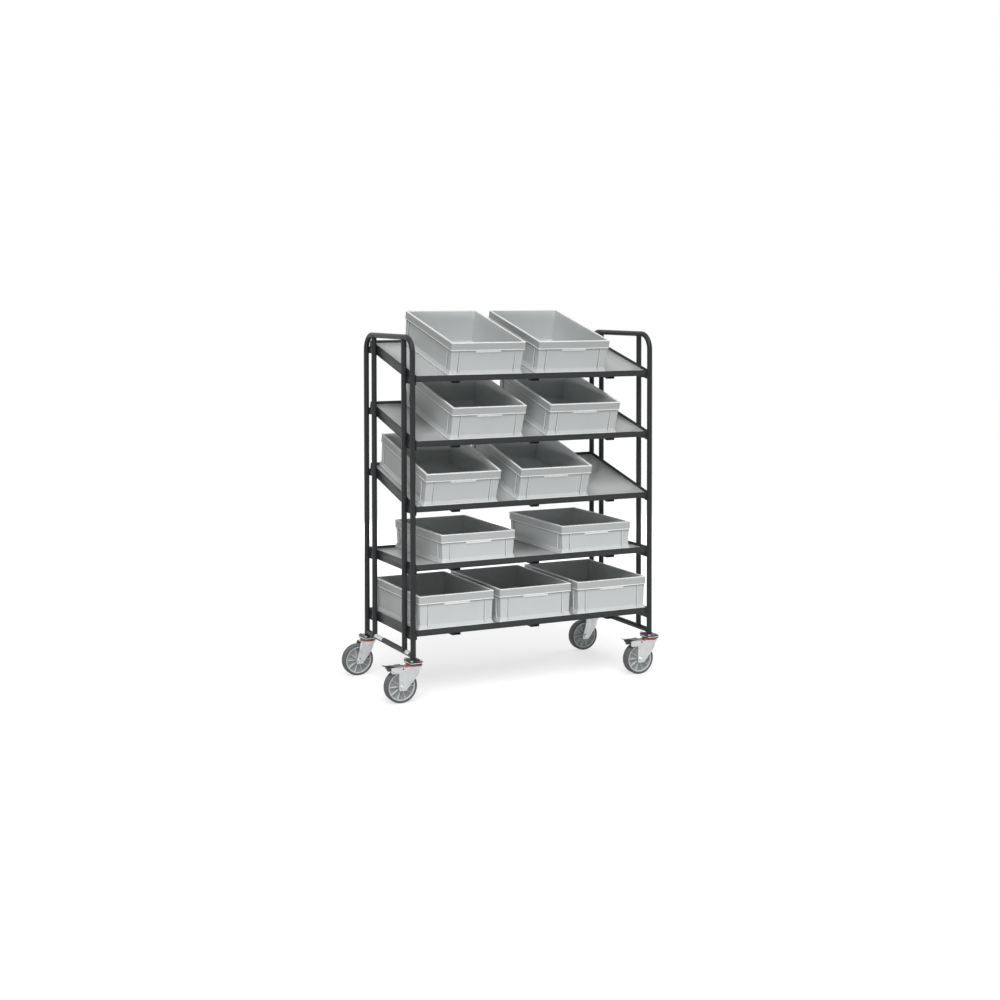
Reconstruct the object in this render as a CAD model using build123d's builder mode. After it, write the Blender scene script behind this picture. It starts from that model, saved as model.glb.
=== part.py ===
from build123d import *
import os
from math import cos, radians, sin

os.makedirs("parts", exist_ok=True)

# Euro box trolley: two tubular end frames on castors carry five shelves, the upper three tilted, and the
# shelves carry stacking boxes. Millimetres. The origin is on the floor under the middle of the frame,
# +X runs along the trolley to the right, +Y to the rear and +Z up.

# End frames of round tube
inner_upright_inset = 107.0  # from an outer upright to the inner one beside it
tube_d = 26.9
tube_wall = 2.0
hoop_height = 1544.0  # leg foot to the centre of the top bar
hoop_bend_r = 80.0  # at the tube's centre
foot_rail_lift = 19.0  # leg foot to the centre of the foot rail
weld_gap = 0.1  # between welded pieces, so that each stays a solid of its own
fit_gap = 0.3  # between pieces that only lie beside each other

# Shelves, all alike: an angle rim with a board in it
bay_heights = {"bottom": 109.0, "lower": 314.0, "middle": 283.0, "upper": 313.0, "top": 312.0}
shelf_tilts = {"bottom": 0.0, "lower": 0.0, "middle": 14.5, "upper": 14.5, "top": 14.5}
rim_height = 30.0  # of the front rail
back_rim_height = 34.0  # of the rear and side rails
rim_sheet = 2.0
rim_flange = 25.0  # width of the ledge under the board
board_t = 18.0
board_play = 0.5
side_rail_t = 3.0
side_rail_drop = 16.0  # how far a side rail reaches below the rim
side_rail_overrun = 8.0  # past the front and rear rails
side_rail_round = 9.0
stiffener_pitch = 430.0
stiffener_w = 45.0
stiffener_h = 11.0
stiffener_sheet = 2.0

# Straps between the uprights and the bolts that hold the shelves to them
strap_t = 5.0
strap_h = 34.0
strap_proud = 0.5  # past the tubes, so that the side rail seats on the strap alone
shelf_bolt_drop = 7.0  # below the bottom of the rim
bolt_hole_play = 0.3

# M8 bolts and nuts for the shelves and the castor plates
bolt_d = 8.0
bolt_flats = 13.0
bolt_head_h = 5.3
nut_h = 6.5
thread_play = 0.1
bolt_end = 1.0  # bolt past its nut

# Castors
wheel_d = 160.0
tyre_w = 46.0
tyre_depth = 12.0
tyre_shoulder_r = 8.0
core_w = 40.0
core_rim_t = 6.0
core_web_t = 6.0
rib_count = 10
rib_t = 3.0
hub_d = 42.0
hub_length = 54.0
bush_d = 24.0
axle_d = 12.0
axle_flats = 18.0
axle_head_h = 7.5
axle_nut_h = 10.0
axle_end = 3.0  # bolt past its nut
running_play = 0.05  # radial, between turning pieces and their pins
front_castor_trail = 67.0  # swivel axis to axle
rear_castor_trail = 55.0
fork_sheet = 4.0
fork_play = 0.5  # between the hub and each cheek
fork_toe = 18.0  # half the width of a cheek at the axle
crown_gap = 8.0  # wheel to crown
crown_t = 4.0
neck_h = 20.0  # flare of the fork up to its head
toe_round = 8.0
head_d = 88.0
head_t = 3.0
bearing_d = 64.0
bearing_h = 12.7
seal_d = 74.0
seal_h = 9.0
seal_play = 0.2
king_pin_d = 16.0
king_pin_head_d = 26.0
king_pin_head_t = 4.0
castor_plate_x = 66.0
castor_plate_y = 96.0
castor_plate_t = 4.0
castor_plate_r = 12.0
castor_bolt_pitch_x = 46.0
castor_bolt_pitch_y = 78.0
mounting_plate_t = 6.0

# Brake of the two front castors
pivot_ahead = 4.0  # pedal pivot ahead of the axle, towards the swivel axis
pivot_rise = 7.0  # pedal pivot above the wheel
pivot_d = 7.0
pivot_end = 2.0  # pin past each cheek
pedal_boss_d = 12.0
pedal_arm_over = 13.0  # top of the arm above the pivot
pedal_arm_under = 3.0
pedal_reach = 41.0  # pivot to the foot pad
pedal_fall = 2.0  # of the arm towards the pad
pad_length = 30.0
pad_h = 18.0
pad_round = 5.0
tab_t = 2.0
tab_w = 30.0
tab_foot_drop = 4.0  # below the top of the pad
tab_rise = 10.0
tab_run = 44.0
ear_reach = 58.0  # cheek past the axle on a braked castor
ear_h = 29.0
ear_round = 6.0
ear_step = 4.0  # ear above the crown

# Stacking boxes: 600 by 400 at the rim
box_w = 400.0
box_l = 600.0
tall_box_h = 170.0
low_box_h = 145.0
rim_band_h = 41.0
rim_overhang = 9.0
rim_corner_r = 6.0
box_corner_r = 5.0
box_wall = 3.0
box_floor = 3.5
box_rib_inset = 50.0  # upright rib, from the rim's side
box_rib_t = 4.0
box_rib_depth = 7.0
foot_h = 9.0
foot_overhang = 8.0
foot_corner_r = 6.0
foot_slope_h = 20.0
grip_w = 140.0
grip_h = 9.0
grip_depth = 7.0
box_play = 1.5  # between a box and the front and rear rails
box_gaps = {  # from the left side rail to the first box, and then from box to box
    "top": {"left": 169.5, "right": 73.0},
    "upper": {"left": 174.5, "right": 130.0},
    "middle": {"left": 35.5, "right": 106.0},
    "lower": {"left": 133.5, "right": 258.0},
    "bottom": {"left": 16.5, "middle": 30.0, "right": 35.0},
}
row_end_gap = 1.4  # between the last box of a full row and the right side rail
box_heights = {
    "top": tall_box_h,
    "upper": tall_box_h,
    "middle": tall_box_h,
    "lower": low_box_h,
    "bottom": tall_box_h,
}

# Blank labels on the left foot rail
label_film = 0.3
label_start = 80.0  # degrees round the rail, from +X up
label_arc = 105.0
label_gap = 10.0  # rear label to the inner upright
rear_label_length = 100.0
front_label_length = 48.0

# Worked out from the sizes above: a full row of boxes sets the length of the frame, and a box its depth
tube_r = tube_d / 2
full_row = max(box_gaps.values(), key=len)
rim_length = sum(full_row.values()) + len(full_row) * box_w + row_end_gap
side_rail_x = rim_length / 2 + weld_gap + side_rail_t  # outer face of a side rail
frame_length = 2 * (side_rail_x + strap_proud + tube_r)  # between the centres of the two hoops
frame_depth = box_l + 2 * (box_play + rim_sheet)  # between the front and rear uprights of a hoop
half_length = frame_length / 2
half_depth = frame_depth / 2
inner_y = half_depth - inner_upright_inset
wheel_r = wheel_d / 2
crown_z = wheel_d + crown_gap
head_z = crown_z + crown_t + head_t
castor_plate_z = head_z + fit_gap + bearing_h
castor_height = castor_plate_z + castor_plate_t
leg_foot = castor_height + mounting_plate_t
foot_rail_z = leg_foot + foot_rail_lift
top_bar_z = leg_foot + hoop_height
ends = (-half_length, half_length)
corners = {
    "front_left": (-half_length, -half_depth, 0),
    "front_right": (half_length, -half_depth, 0),
    "rear_left": (-half_length, half_depth, 0),
    "rear_right": (half_length, half_depth, 0),
}
castor_bolt_spots = [
    (x + sx * castor_bolt_pitch_x / 2, y + sy * castor_bolt_pitch_y / 2)
    for x, y, z in corners.values()
    for sx in (-1, 1)
    for sy in (-1, 1)
]
bolt_hole_r = bolt_d / 2 + bolt_hole_play
core_r = wheel_r - tyre_depth
cheek_in = hub_length / 2 + fork_play
cheek_out = cheek_in + fork_sheet
axle_places = {"front": -front_castor_trail, "rear": -rear_castor_trail}
pivot_x = axle_places["front"] + pivot_ahead
pivot_z = wheel_d + pivot_rise
board_top = rim_sheet + board_t
strap_y = half_depth - inner_upright_inset / 2


def keep(piece, name):
    """Label a finished sub-part and write it."""
    piece.part.label = name
    export_step(piece.part, f"parts/{name}.step")


def place(shape, name, spots):
    """Set copies of a finished shape at the given spots and keep them as one sub-part."""
    with BuildPart() as placed:
        with Locations(*spots):
            add(shape)
    keep(placed, name)


def shelf_plane(front_z, tilt):
    """Plane of a shelf: x along the front rail, y to the rear, z square to the board."""
    lean = radians(tilt)
    return Plane(origin=(0, -half_depth, front_z), x_dir=(1, 0, 0), z_dir=(0, -sin(lean), cos(lean)))


def depth_on_shelf(y, tilt):
    """Distance from the front rail of the side rail's bolt hole that lies at y in the frame."""
    lean = radians(tilt)
    return (y + half_depth - shelf_bolt_drop * sin(lean)) / cos(lean)


shelf_planes = {}
shelf_z = leg_foot
for shelf, bay in bay_heights.items():
    shelf_z += bay
    shelf_planes[shelf] = shelf_plane(shelf_z, shelf_tilts[shelf])

# A shelf's bolts: a front one on which it tilts, and a rear one in the hole for its tilt
front_hole = depth_on_shelf(-strap_y, 0)
rear_holes = sorted({depth_on_shelf(strap_y, tilt) for tilt in shelf_tilts.values()})
shelf_bolt_spots = [
    shelf_planes[shelf].from_local_coords((side * side_rail_x, depth, -shelf_bolt_drop))
    for shelf, tilt in shelf_tilts.items()
    for side in (-1, 1)
    for depth in (front_hole, depth_on_shelf(strap_y, tilt))
]


def hoop_path(x):
    """Centre line of the bent tube of one end frame."""
    with BuildLine(Plane.YZ.offset(x)) as path:
        FilletPolyline(
            (-half_depth, leg_foot),
            (-half_depth, top_bar_z),
            (half_depth, top_bar_z),
            (half_depth, leg_foot),
            radius=hoop_bend_r,
        )
    return path.line


def inner_upright_spots(z):
    """Where the four inner uprights stand, at height z."""
    return [(x, y, z) for x in ends for y in (-inner_y, inner_y)]


# Hoops: front upright, top bar and rear upright in one bent tube
for x, side in zip(ends, ("left", "right")):
    route = hoop_path(x)
    with BuildPart() as hoop:
        with BuildSketch(Plane(origin=route @ 0, z_dir=route % 0)):
            Circle(tube_r)
            Circle(tube_r - tube_wall, mode=Mode.SUBTRACT)
        sweep(path=route)
    keep(hoop, f"{side}_hoop")

# Inner uprights, saddled onto the top bars and the foot rails
with BuildPart() as inner_uprights:
    with Locations(*inner_upright_spots(foot_rail_z)):
        upright_height = top_bar_z - foot_rail_z
        low_end = (Align.CENTER, Align.CENTER, Align.MIN)
        Cylinder(tube_r, upright_height, align=low_end)
        Cylinder(tube_r - tube_wall, upright_height, align=low_end, mode=Mode.SUBTRACT)
    with Locations(*[(x, 0, z) for x in ends for z in (foot_rail_z, top_bar_z)]):
        Cylinder(tube_r + weld_gap, frame_depth, rotation=(90, 0, 0), mode=Mode.SUBTRACT)
keep(inner_uprights, "inner_uprights")

# Foot rails, saddled onto the legs
with BuildPart() as foot_rails:
    with Locations(*[(x, 0, foot_rail_z) for x in ends]):
        Cylinder(tube_r, frame_depth, rotation=(90, 0, 0))
        Cylinder(tube_r - tube_wall, frame_depth, rotation=(90, 0, 0), mode=Mode.SUBTRACT)
    with Locations(*[(x, y, foot_rail_z) for x, y, z in corners.values()]):
        Cylinder(tube_r + weld_gap, 2 * tube_d, mode=Mode.SUBTRACT)
keep(foot_rails, "foot_rails")

# Blank labels wrapped round the outer side of the left foot rail: a long one in front of the rear inner
# upright and a short one between the front uprights
rear_label_y = inner_y - tube_r - label_gap - rear_label_length / 2
with BuildPart() as rail_labels:
    for label_y, label_length in ((rear_label_y, rear_label_length), (-strap_y, front_label_length)):
        inner_r = tube_r + weld_gap
        front = (-half_length, label_y - label_length / 2, foot_rail_z)
        with BuildSketch(Plane(origin=front, x_dir=(1, 0, 0), z_dir=(0, -1, 0))):
            with BuildLine():
                inside = CenterArc((0, 0), inner_r, label_start, label_arc)
                outside = CenterArc((0, 0), inner_r + label_film, label_start, label_arc)
                Line(inside @ 0, outside @ 0)
                Line(inside @ 1, outside @ 1)
            make_face()
        extrude(amount=-label_length)
keep(rail_labels, "rail_labels")

# Straps welded between each outer upright and the inner one beside it
with BuildPart() as shelf_straps:
    for spot in shelf_bolt_spots:
        side = 1 if spot.X > 0 else -1
        middle_y = strap_y if spot.Y > 0 else -strap_y
        with Locations((spot.X + side * strap_t / 2, middle_y, spot.Z)):
            Box(strap_t, inner_upright_inset, strap_h)
        with Locations((spot.X + side * strap_t / 2, spot.Y, spot.Z)):
            Cylinder(bolt_hole_r, 2 * strap_t, rotation=(0, 90, 0), mode=Mode.SUBTRACT)
    with Locations(*inner_upright_spots(leg_foot)):
        Cylinder(tube_r + weld_gap, 2 * hoop_height, mode=Mode.SUBTRACT)
    for x in ends:
        route = hoop_path(x)
        with BuildSketch(Plane(origin=route @ 0, z_dir=route % 0)):
            Circle(tube_r + weld_gap)
        sweep(path=route, mode=Mode.SUBTRACT)
keep(shelf_straps, "shelf_straps")


def make_shelf_frame():
    """Welded rim of one shelf, lying level with its front lower edge along X."""
    with BuildPart() as frame:
        # front and rear rails: an angle with its flange under the board
        for edge, inward, height in ((0, 1, rim_height), (frame_depth, -1, back_rim_height)):
            with BuildSketch(Plane.YZ.offset(-rim_length / 2)):
                with BuildLine():
                    Polyline(
                        (edge, 0),
                        (edge + inward * rim_flange, 0),
                        (edge + inward * rim_flange, rim_sheet),
                        (edge + inward * rim_sheet, rim_sheet),
                        (edge + inward * rim_sheet, height),
                        (edge, height),
                        close=True,
                    )
                make_face()
            extrude(amount=rim_length)
        # side rails: a deeper strip with rounded ends that take the bolts
        strip_length = frame_depth + 2 * side_rail_overrun
        strip_h = back_rim_height + side_rail_drop
        for start in (-side_rail_x, side_rail_x - side_rail_t):
            with BuildSketch(Plane.YZ.offset(start)):
                with Locations((frame_depth / 2, back_rim_height - strip_h / 2)):
                    RectangleRounded(strip_length, strip_h, side_rail_round)
                with Locations(*[(depth, -shelf_bolt_drop) for depth in (front_hole, *rear_holes)]):
                    Circle(bolt_hole_r, mode=Mode.SUBTRACT)
            extrude(amount=side_rail_t)
        # stiffeners: open channels from the front flange to the rear one
        for x in (-stiffener_pitch, 0, stiffener_pitch):
            with BuildSketch(Plane.XZ.offset(-rim_sheet)):
                with Locations((x, -weld_gap)):
                    Rectangle(stiffener_w, stiffener_h, align=(Align.CENTER, Align.MAX))
                    inside = stiffener_w - 2 * stiffener_sheet
                    hollow_h = stiffener_h - stiffener_sheet
                    Rectangle(inside, hollow_h, align=(Align.CENTER, Align.MAX), mode=Mode.SUBTRACT)
            extrude(amount=2 * rim_sheet - frame_depth)
    return frame.part


def make_board():
    """Board that lies in a shelf's rim."""
    with BuildPart() as board:
        with Locations((0, frame_depth / 2, rim_sheet)):
            Box(
                rim_length - 2 * board_play,
                frame_depth - 2 * (rim_sheet + board_play),
                board_t,
                align=(Align.CENTER, Align.CENTER, Align.MIN),
            )
    return board.part


shelf_frame = make_shelf_frame()
board = make_board()
for shelf, plane in shelf_planes.items():
    place(shelf_frame, f"{shelf}_shelf_frame", [plane])
    place(board, f"{shelf}_shelf_board", [plane])


def make_bolt(diameter, flats, head_h, length):
    """Hex bolt along +Z with its head under z = 0."""
    with BuildPart() as bolt:
        with BuildSketch():
            RegularPolygon(flats / 2, 6, major_radius=False)
        extrude(amount=-head_h)
        with BuildSketch():
            Circle(diameter / 2)
        extrude(amount=length)
    return bolt.part


def make_nut(diameter, flats, height):
    """Hex nut on z = 0."""
    with BuildPart() as nut:
        with BuildSketch():
            RegularPolygon(flats / 2, 6, major_radius=False)
            Circle(diameter / 2 + thread_play, mode=Mode.SUBTRACT)
        extrude(amount=height)
    return nut.part


# Shelf bolts, heads on the inside of the side rails and nuts on the straps
shelf_bolt = make_bolt(bolt_d, bolt_flats, bolt_head_h, side_rail_t + strap_t + nut_h + bolt_end)
shelf_nut = make_nut(bolt_d, bolt_flats, nut_h)
bolt_seats = []
nut_seats = []
for spot in shelf_bolt_spots:
    outward = Vector(1 if spot.X > 0 else -1, 0, 0)
    bolt_seats.append(Plane(origin=spot - outward * side_rail_t, x_dir=(0, 1, 0), z_dir=outward))
    nut_seats.append(Plane(origin=spot + outward * strap_t, x_dir=(0, 1, 0), z_dir=outward))
place(shelf_bolt, "shelf_bolts", bolt_seats)
place(shelf_nut, "shelf_nuts", nut_seats)


def make_plate(thickness):
    """Castor plate with its four bolt holes, on z = 0."""
    with BuildPart() as plate:
        with BuildSketch():
            RectangleRounded(castor_plate_x, castor_plate_y, castor_plate_r)
            with GridLocations(castor_bolt_pitch_x, castor_bolt_pitch_y, 2, 2):
                Circle(bolt_hole_r, mode=Mode.SUBTRACT)
        extrude(amount=thickness)
    return plate.part


# Mounting plates under the legs, and the castors' own top plates bolted to them
place(
    make_plate(mounting_plate_t),
    "castor_mounting_plates",
    [(x, y, castor_height) for x, y, z in corners.values()],
)
with BuildPart() as castor_top_plates:
    with Locations(*[(x, y, castor_plate_z) for x, y, z in corners.values()]):
        add(make_plate(castor_plate_t))
        Cylinder(king_pin_d / 2 + running_play, 4 * castor_plate_t, mode=Mode.SUBTRACT)
keep(castor_top_plates, "castor_top_plates")

plate_grip = mounting_plate_t + castor_plate_t
plate_bolt = make_bolt(bolt_d, bolt_flats, bolt_head_h, plate_grip + nut_h + bolt_end)
plate_nut = make_nut(bolt_d, bolt_flats, nut_h)
place(
    plate_bolt,
    "castor_plate_bolts",
    [Plane(origin=(x, y, leg_foot), x_dir=(1, 0, 0), z_dir=(0, 0, -1)) for x, y in castor_bolt_spots],
)
place(
    plate_nut,
    "castor_plate_nuts",
    [Plane(origin=(x, y, castor_plate_z), x_dir=(1, 0, 0), z_dir=(0, 0, -1)) for x, y in castor_bolt_spots],
)

# King pins, riveted into the top plates, with a head that carries the fork's crown
with BuildPart() as king_pin:
    pin_foot = crown_z - fit_gap
    with BuildSketch(Plane.XY.offset(pin_foot)):
        Circle(king_pin_head_d / 2)
    extrude(amount=-king_pin_head_t)
    with BuildSketch(Plane.XY.offset(pin_foot)):
        Circle(king_pin_d / 2)
    extrude(amount=castor_height - pin_foot)
place(king_pin.part, "castor_king_pins", corners.values())

# Swivel bearings between the top plates and the fork heads, each with a seal ring round it
with BuildPart() as swivel_bearing:
    with BuildSketch(Plane.XY.offset(castor_plate_z)):
        Circle(bearing_d / 2)
        Circle(king_pin_d / 2 + fit_gap, mode=Mode.SUBTRACT)
    extrude(amount=-bearing_h)
place(swivel_bearing.part, "castor_swivel_bearings", corners.values())
with BuildPart() as seal_ring:
    with BuildSketch(Plane.XY.offset(castor_plate_z - (bearing_h - seal_h) / 2)):
        Circle(seal_d / 2)
        Circle(bearing_d / 2 + seal_play, mode=Mode.SUBTRACT)
    extrude(amount=-seal_h)
place(seal_ring.part, "castor_seal_rings", corners.values())


def make_fork(axle_x, braked):
    """Pressed swivel fork: two cheeks joined by a round nose that flares to a round head over a flat crown."""
    toe_z = wheel_r - fork_toe
    top_z = crown_z + crown_t
    neck_z = top_z - neck_h
    head_r = head_d / 2
    crown_back = axle_x + pivot_ahead + pedal_boss_d
    with BuildPart() as fork:
        with BuildSketch():
            for half in (cheek_out, cheek_in):
                mode = Mode.ADD if half == cheek_out else Mode.SUBTRACT
                Circle(half, mode=mode)
                Rectangle(2 * wheel_d, 2 * half, align=(Align.MAX, Align.CENTER), mode=mode)
        extrude(amount=2 * wheel_d)
        # what the cheeks keep, seen from the side
        with BuildSketch(Plane.XZ) as side_view:
            with BuildLine():
                if braked:
                    ear_top = top_z + ear_step
                    back = [
                        (crown_back, top_z),
                        (crown_back - ear_step, ear_top),
                        (axle_x - ear_reach, ear_top),
                        (axle_x - ear_reach, ear_top - ear_h + ear_round),
                        (axle_x - ear_reach + ear_round, ear_top - ear_h),
                        (axle_x - fork_toe, ear_top - ear_h),
                    ]
                else:
                    back = [(axle_x + fork_toe / 2, top_z)]
                Polyline(
                    (axle_x - fork_toe, toe_z),
                    (axle_x + fork_toe, toe_z),
                    (cheek_out, neck_z),
                    (cheek_out, top_z),
                    *back,
                    close=True,
                )
            make_face()
            fillet(side_view.vertices().group_by(Axis.Y)[0], toe_round)
        extrude(amount=cheek_out, both=True, mode=Mode.INTERSECT)
        # neck, open behind for the wheel
        with BuildSketch(Plane.XZ):
            with BuildLine():
                Polyline(
                    (cheek_in, neck_z),
                    (cheek_out, neck_z),
                    (head_r, top_z),
                    (head_r - fork_sheet, top_z),
                    close=True,
                )
            make_face()
        revolve(axis=Axis.Z)
        with Locations((0, 0, crown_z)):
            rear_top = (Align.MAX, Align.CENTER, Align.MAX)
            Box(2 * wheel_d, 2 * cheek_in, neck_h, align=rear_top, mode=Mode.SUBTRACT)
        # crown between the cheeks, and the head that turns on the king pin
        with BuildSketch(Plane.XY.offset(crown_z)):
            Circle(head_r - fork_sheet)
            Rectangle(-crown_back, 2 * cheek_out, align=(Align.MAX, Align.CENTER))
        extrude(amount=crown_t)
        with BuildSketch(Plane.XY.offset(top_z)):
            Circle(head_r)
        extrude(amount=head_t)
        with Locations((0, 0, crown_z)):
            Cylinder(king_pin_d / 2 + running_play, 4 * (crown_t + head_t), mode=Mode.SUBTRACT)
        with Locations((axle_x, 0, wheel_r)):
            Cylinder(axle_d / 2 + running_play, 4 * cheek_out, rotation=(90, 0, 0), mode=Mode.SUBTRACT)
        if braked:
            with Locations((pivot_x, 0, pivot_z)):
                Cylinder(pivot_d / 2 + running_play, 4 * cheek_out, rotation=(90, 0, 0), mode=Mode.SUBTRACT)
    return fork.part


def make_axle(axle_x):
    """Axle bolt along +Y with its head at the front, and its nut."""
    seat = Plane(origin=(axle_x, -cheek_out, wheel_r), x_dir=(1, 0, 0), z_dir=(0, 1, 0))
    nut_seat = Plane(origin=(axle_x, cheek_out, wheel_r), x_dir=(1, 0, 0), z_dir=(0, 1, 0))
    with BuildPart() as axle:
        with Locations(seat):
            add(make_bolt(axle_d, axle_flats, axle_head_h, 2 * cheek_out + axle_nut_h + axle_end))
        with Locations(nut_seat):
            add(make_nut(axle_d, axle_flats, axle_nut_h))
    return axle.part


def make_wheel_core():
    """Plastic wheel body with radial ribs on both sides of its web, turning about Y."""
    with BuildPart() as core:
        with BuildSketch() as half_section:
            hub_wall = (hub_d - bush_d) / 2 - weld_gap
            with Locations((bush_d / 2 + weld_gap, 0)):
                Rectangle(hub_wall, hub_length, align=(Align.MIN, Align.CENTER))
            with Locations((hub_d / 2, 0)):
                Rectangle(core_r - hub_d / 2, core_web_t, align=(Align.MIN, Align.CENTER))
            with Locations((core_r, 0)):
                Rectangle(core_rim_t, core_w, align=(Align.MAX, Align.CENTER))
        revolve(axis=Axis.Y)
        rib_length = core_r - core_rim_t / 2 - hub_d / 2 + rib_t
        with BuildSketch(Plane.XZ):
            with PolarLocations(hub_d / 2 - rib_t + rib_length / 2, rib_count):
                Rectangle(rib_length, rib_t)
        extrude(amount=core_w / 2 - core_rim_t / 2, both=True)
    return core.part


def make_tyre():
    """Tread ring on the wheel core, with rounded shoulders."""
    with BuildPart() as tyre:
        with BuildSketch() as half_section:
            with Locations((core_r + weld_gap, 0)):
                Rectangle(tyre_depth - weld_gap, tyre_w, align=(Align.MIN, Align.CENTER))
            fillet(half_section.vertices().group_by(Axis.X)[-1], tyre_shoulder_r)
        revolve(axis=Axis.Y)
    return tyre.part


def make_bush():
    """Plain bearing in the hub, running on the axle bolt."""
    with BuildPart() as bush:
        Cylinder(bush_d / 2, hub_length, rotation=(90, 0, 0))
        Cylinder(axle_d / 2 + running_play, hub_length, rotation=(90, 0, 0), mode=Mode.SUBTRACT)
    return bush.part


def make_pedal():
    """Brake pedal: a boss on the pivot pin, an arm over the tyre, a foot pad and a release tab."""
    pad_back = pivot_x - pedal_reach
    pad_z = pivot_z - pedal_fall
    pad_top = pad_z + pedal_arm_over
    with BuildPart() as pedal:
        with BuildSketch(Plane.XZ):
            with Locations((pivot_x, pivot_z)):
                Circle(pedal_boss_d / 2)
            with BuildLine():
                Polyline(
                    (pivot_x, pivot_z + pedal_arm_over),
                    (pivot_x, pivot_z - pedal_arm_under),
                    (pad_back, pad_z - pedal_arm_under),
                    (pad_back, pad_top),
                    close=True,
                )
            make_face()
            with Locations((pad_back - pad_length / 2, pad_top - pad_h / 2)):
                RectangleRounded(pad_length, pad_h, pad_round)
        extrude(amount=cheek_in - fork_play, both=True)
        with BuildSketch(Plane.XZ):
            with BuildLine():
                tab_foot = (pad_back - pad_length / 3, pad_top - tab_foot_drop)
                Polyline(
                    tab_foot,
                    (tab_foot[0] - tab_run, tab_foot[1] + tab_rise),
                    (tab_foot[0] - tab_run, tab_foot[1] + tab_rise + tab_t),
                    (tab_foot[0], tab_foot[1] + 2 * tab_t),
                    close=True,
                )
            make_face()
        extrude(amount=tab_w / 2, both=True)
        with Locations((pivot_x, 0, pivot_z)):
            Cylinder(pivot_d / 2 + running_play, 4 * cheek_out, rotation=(90, 0, 0), mode=Mode.SUBTRACT)
    return pedal.part


def make_pivot_pin():
    """Pin across the cheeks on which the brake pedal turns."""
    with BuildPart() as pin:
        with Locations((pivot_x, 0, pivot_z)):
            Cylinder(pivot_d / 2, 2 * (cheek_out + pivot_end), rotation=(90, 0, 0))
    return pin.part


# Castors: both front ones have a brake
forks = {end: make_fork(axle_x, end == "front") for end, axle_x in axle_places.items()}
axles = {end: make_axle(axle_x) for end, axle_x in axle_places.items()}
wheel_pieces = {"wheel_core": make_wheel_core(), "tyre": make_tyre(), "wheel_bush": make_bush()}
pedal = make_pedal()
pivot_pin = make_pivot_pin()
for corner, (x, y, z) in corners.items():
    end = "front" if y < 0 else "rear"
    place(forks[end], f"{corner}_fork", [(x, y, z)])
    place(axles[end], f"{corner}_axle_bolt", [(x, y, z)])
    for piece, shape in wheel_pieces.items():
        place(shape, f"{corner}_{piece}", [(x + axle_places[end], y, wheel_r)])
    if end == "front":
        place(pedal, f"{corner}_brake_pedal", [(x, y, z)])
        place(pivot_pin, f"{corner}_brake_pin", [(x, y, z)])


def make_box(height):
    """Stacking box on z = 0: plain walls with a rib beside each corner, a rim, a foot and a grip at each end."""
    body_w = box_w - 2 * rim_overhang
    body_l = box_l - 2 * rim_overhang
    rim_z = height - rim_band_h
    with BuildPart() as box:
        with BuildSketch():
            RectangleRounded(body_w, body_l, box_corner_r)
        extrude(amount=height)
        # upright ribs beside the corners, two on each wall
        with BuildSketch():
            rib_x = box_w / 2 - box_rib_inset
            rib_y = box_l / 2 - box_rib_inset
            with Locations((-rib_x, 0), (rib_x, 0)):
                Rectangle(box_rib_t, body_l + 2 * box_rib_depth)
            with Locations((0, -rib_y), (0, rib_y)):
                Rectangle(body_w + 2 * box_rib_depth, box_rib_t)
        extrude(amount=height)
        with BuildSketch(Plane.XY.offset(rim_z)):
            RectangleRounded(box_w, box_l, rim_corner_r)
        extrude(amount=rim_band_h)
        with BuildSketch():
            RectangleRounded(body_w + 2 * foot_overhang, body_l + 2 * foot_overhang, foot_corner_r)
        extrude(amount=foot_h)
        with BuildSketch(Plane.XY.offset(foot_h)):
            RectangleRounded(body_w + 2 * foot_overhang, body_l + 2 * foot_overhang, foot_corner_r)
        with BuildSketch(Plane.XY.offset(foot_h + foot_slope_h)):
            RectangleRounded(body_w, body_l, box_corner_r)
        loft()
        # grip lips under the rim at both ends
        with BuildSketch(Plane.XY.offset(rim_z)):
            with Locations((0, body_l / 2), (0, -body_l / 2)):
                Rectangle(grip_w, 2 * grip_depth)
        extrude(amount=-grip_h)
        with BuildSketch(Plane.XY.offset(box_floor)):
            RectangleRounded(body_w - 2 * box_wall, body_l - 2 * box_wall, box_corner_r - box_wall)
        extrude(amount=height, mode=Mode.SUBTRACT)
    return box.part


# Boxes, each against the front lip of its shelf
boxes = {height: make_box(height) for height in (tall_box_h, low_box_h)}
box_depth = rim_sheet + box_play + box_l / 2
for shelf, plane in shelf_planes.items():
    x = -rim_length / 2
    for spot, gap in box_gaps[shelf].items():
        x += gap + box_w / 2
        seat = Plane(
            origin=plane.from_local_coords((x, box_depth, board_top)),
            x_dir=plane.x_dir,
            z_dir=plane.z_dir,
        )
        place(boxes[box_heights[shelf]], f"{shelf}_shelf_{spot}_box", [seat])
        x += box_w / 2
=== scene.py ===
from math import cos, pi, radians, sin, sqrt

import bmesh
import bpy
from mathutils import Matrix, Vector


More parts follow.
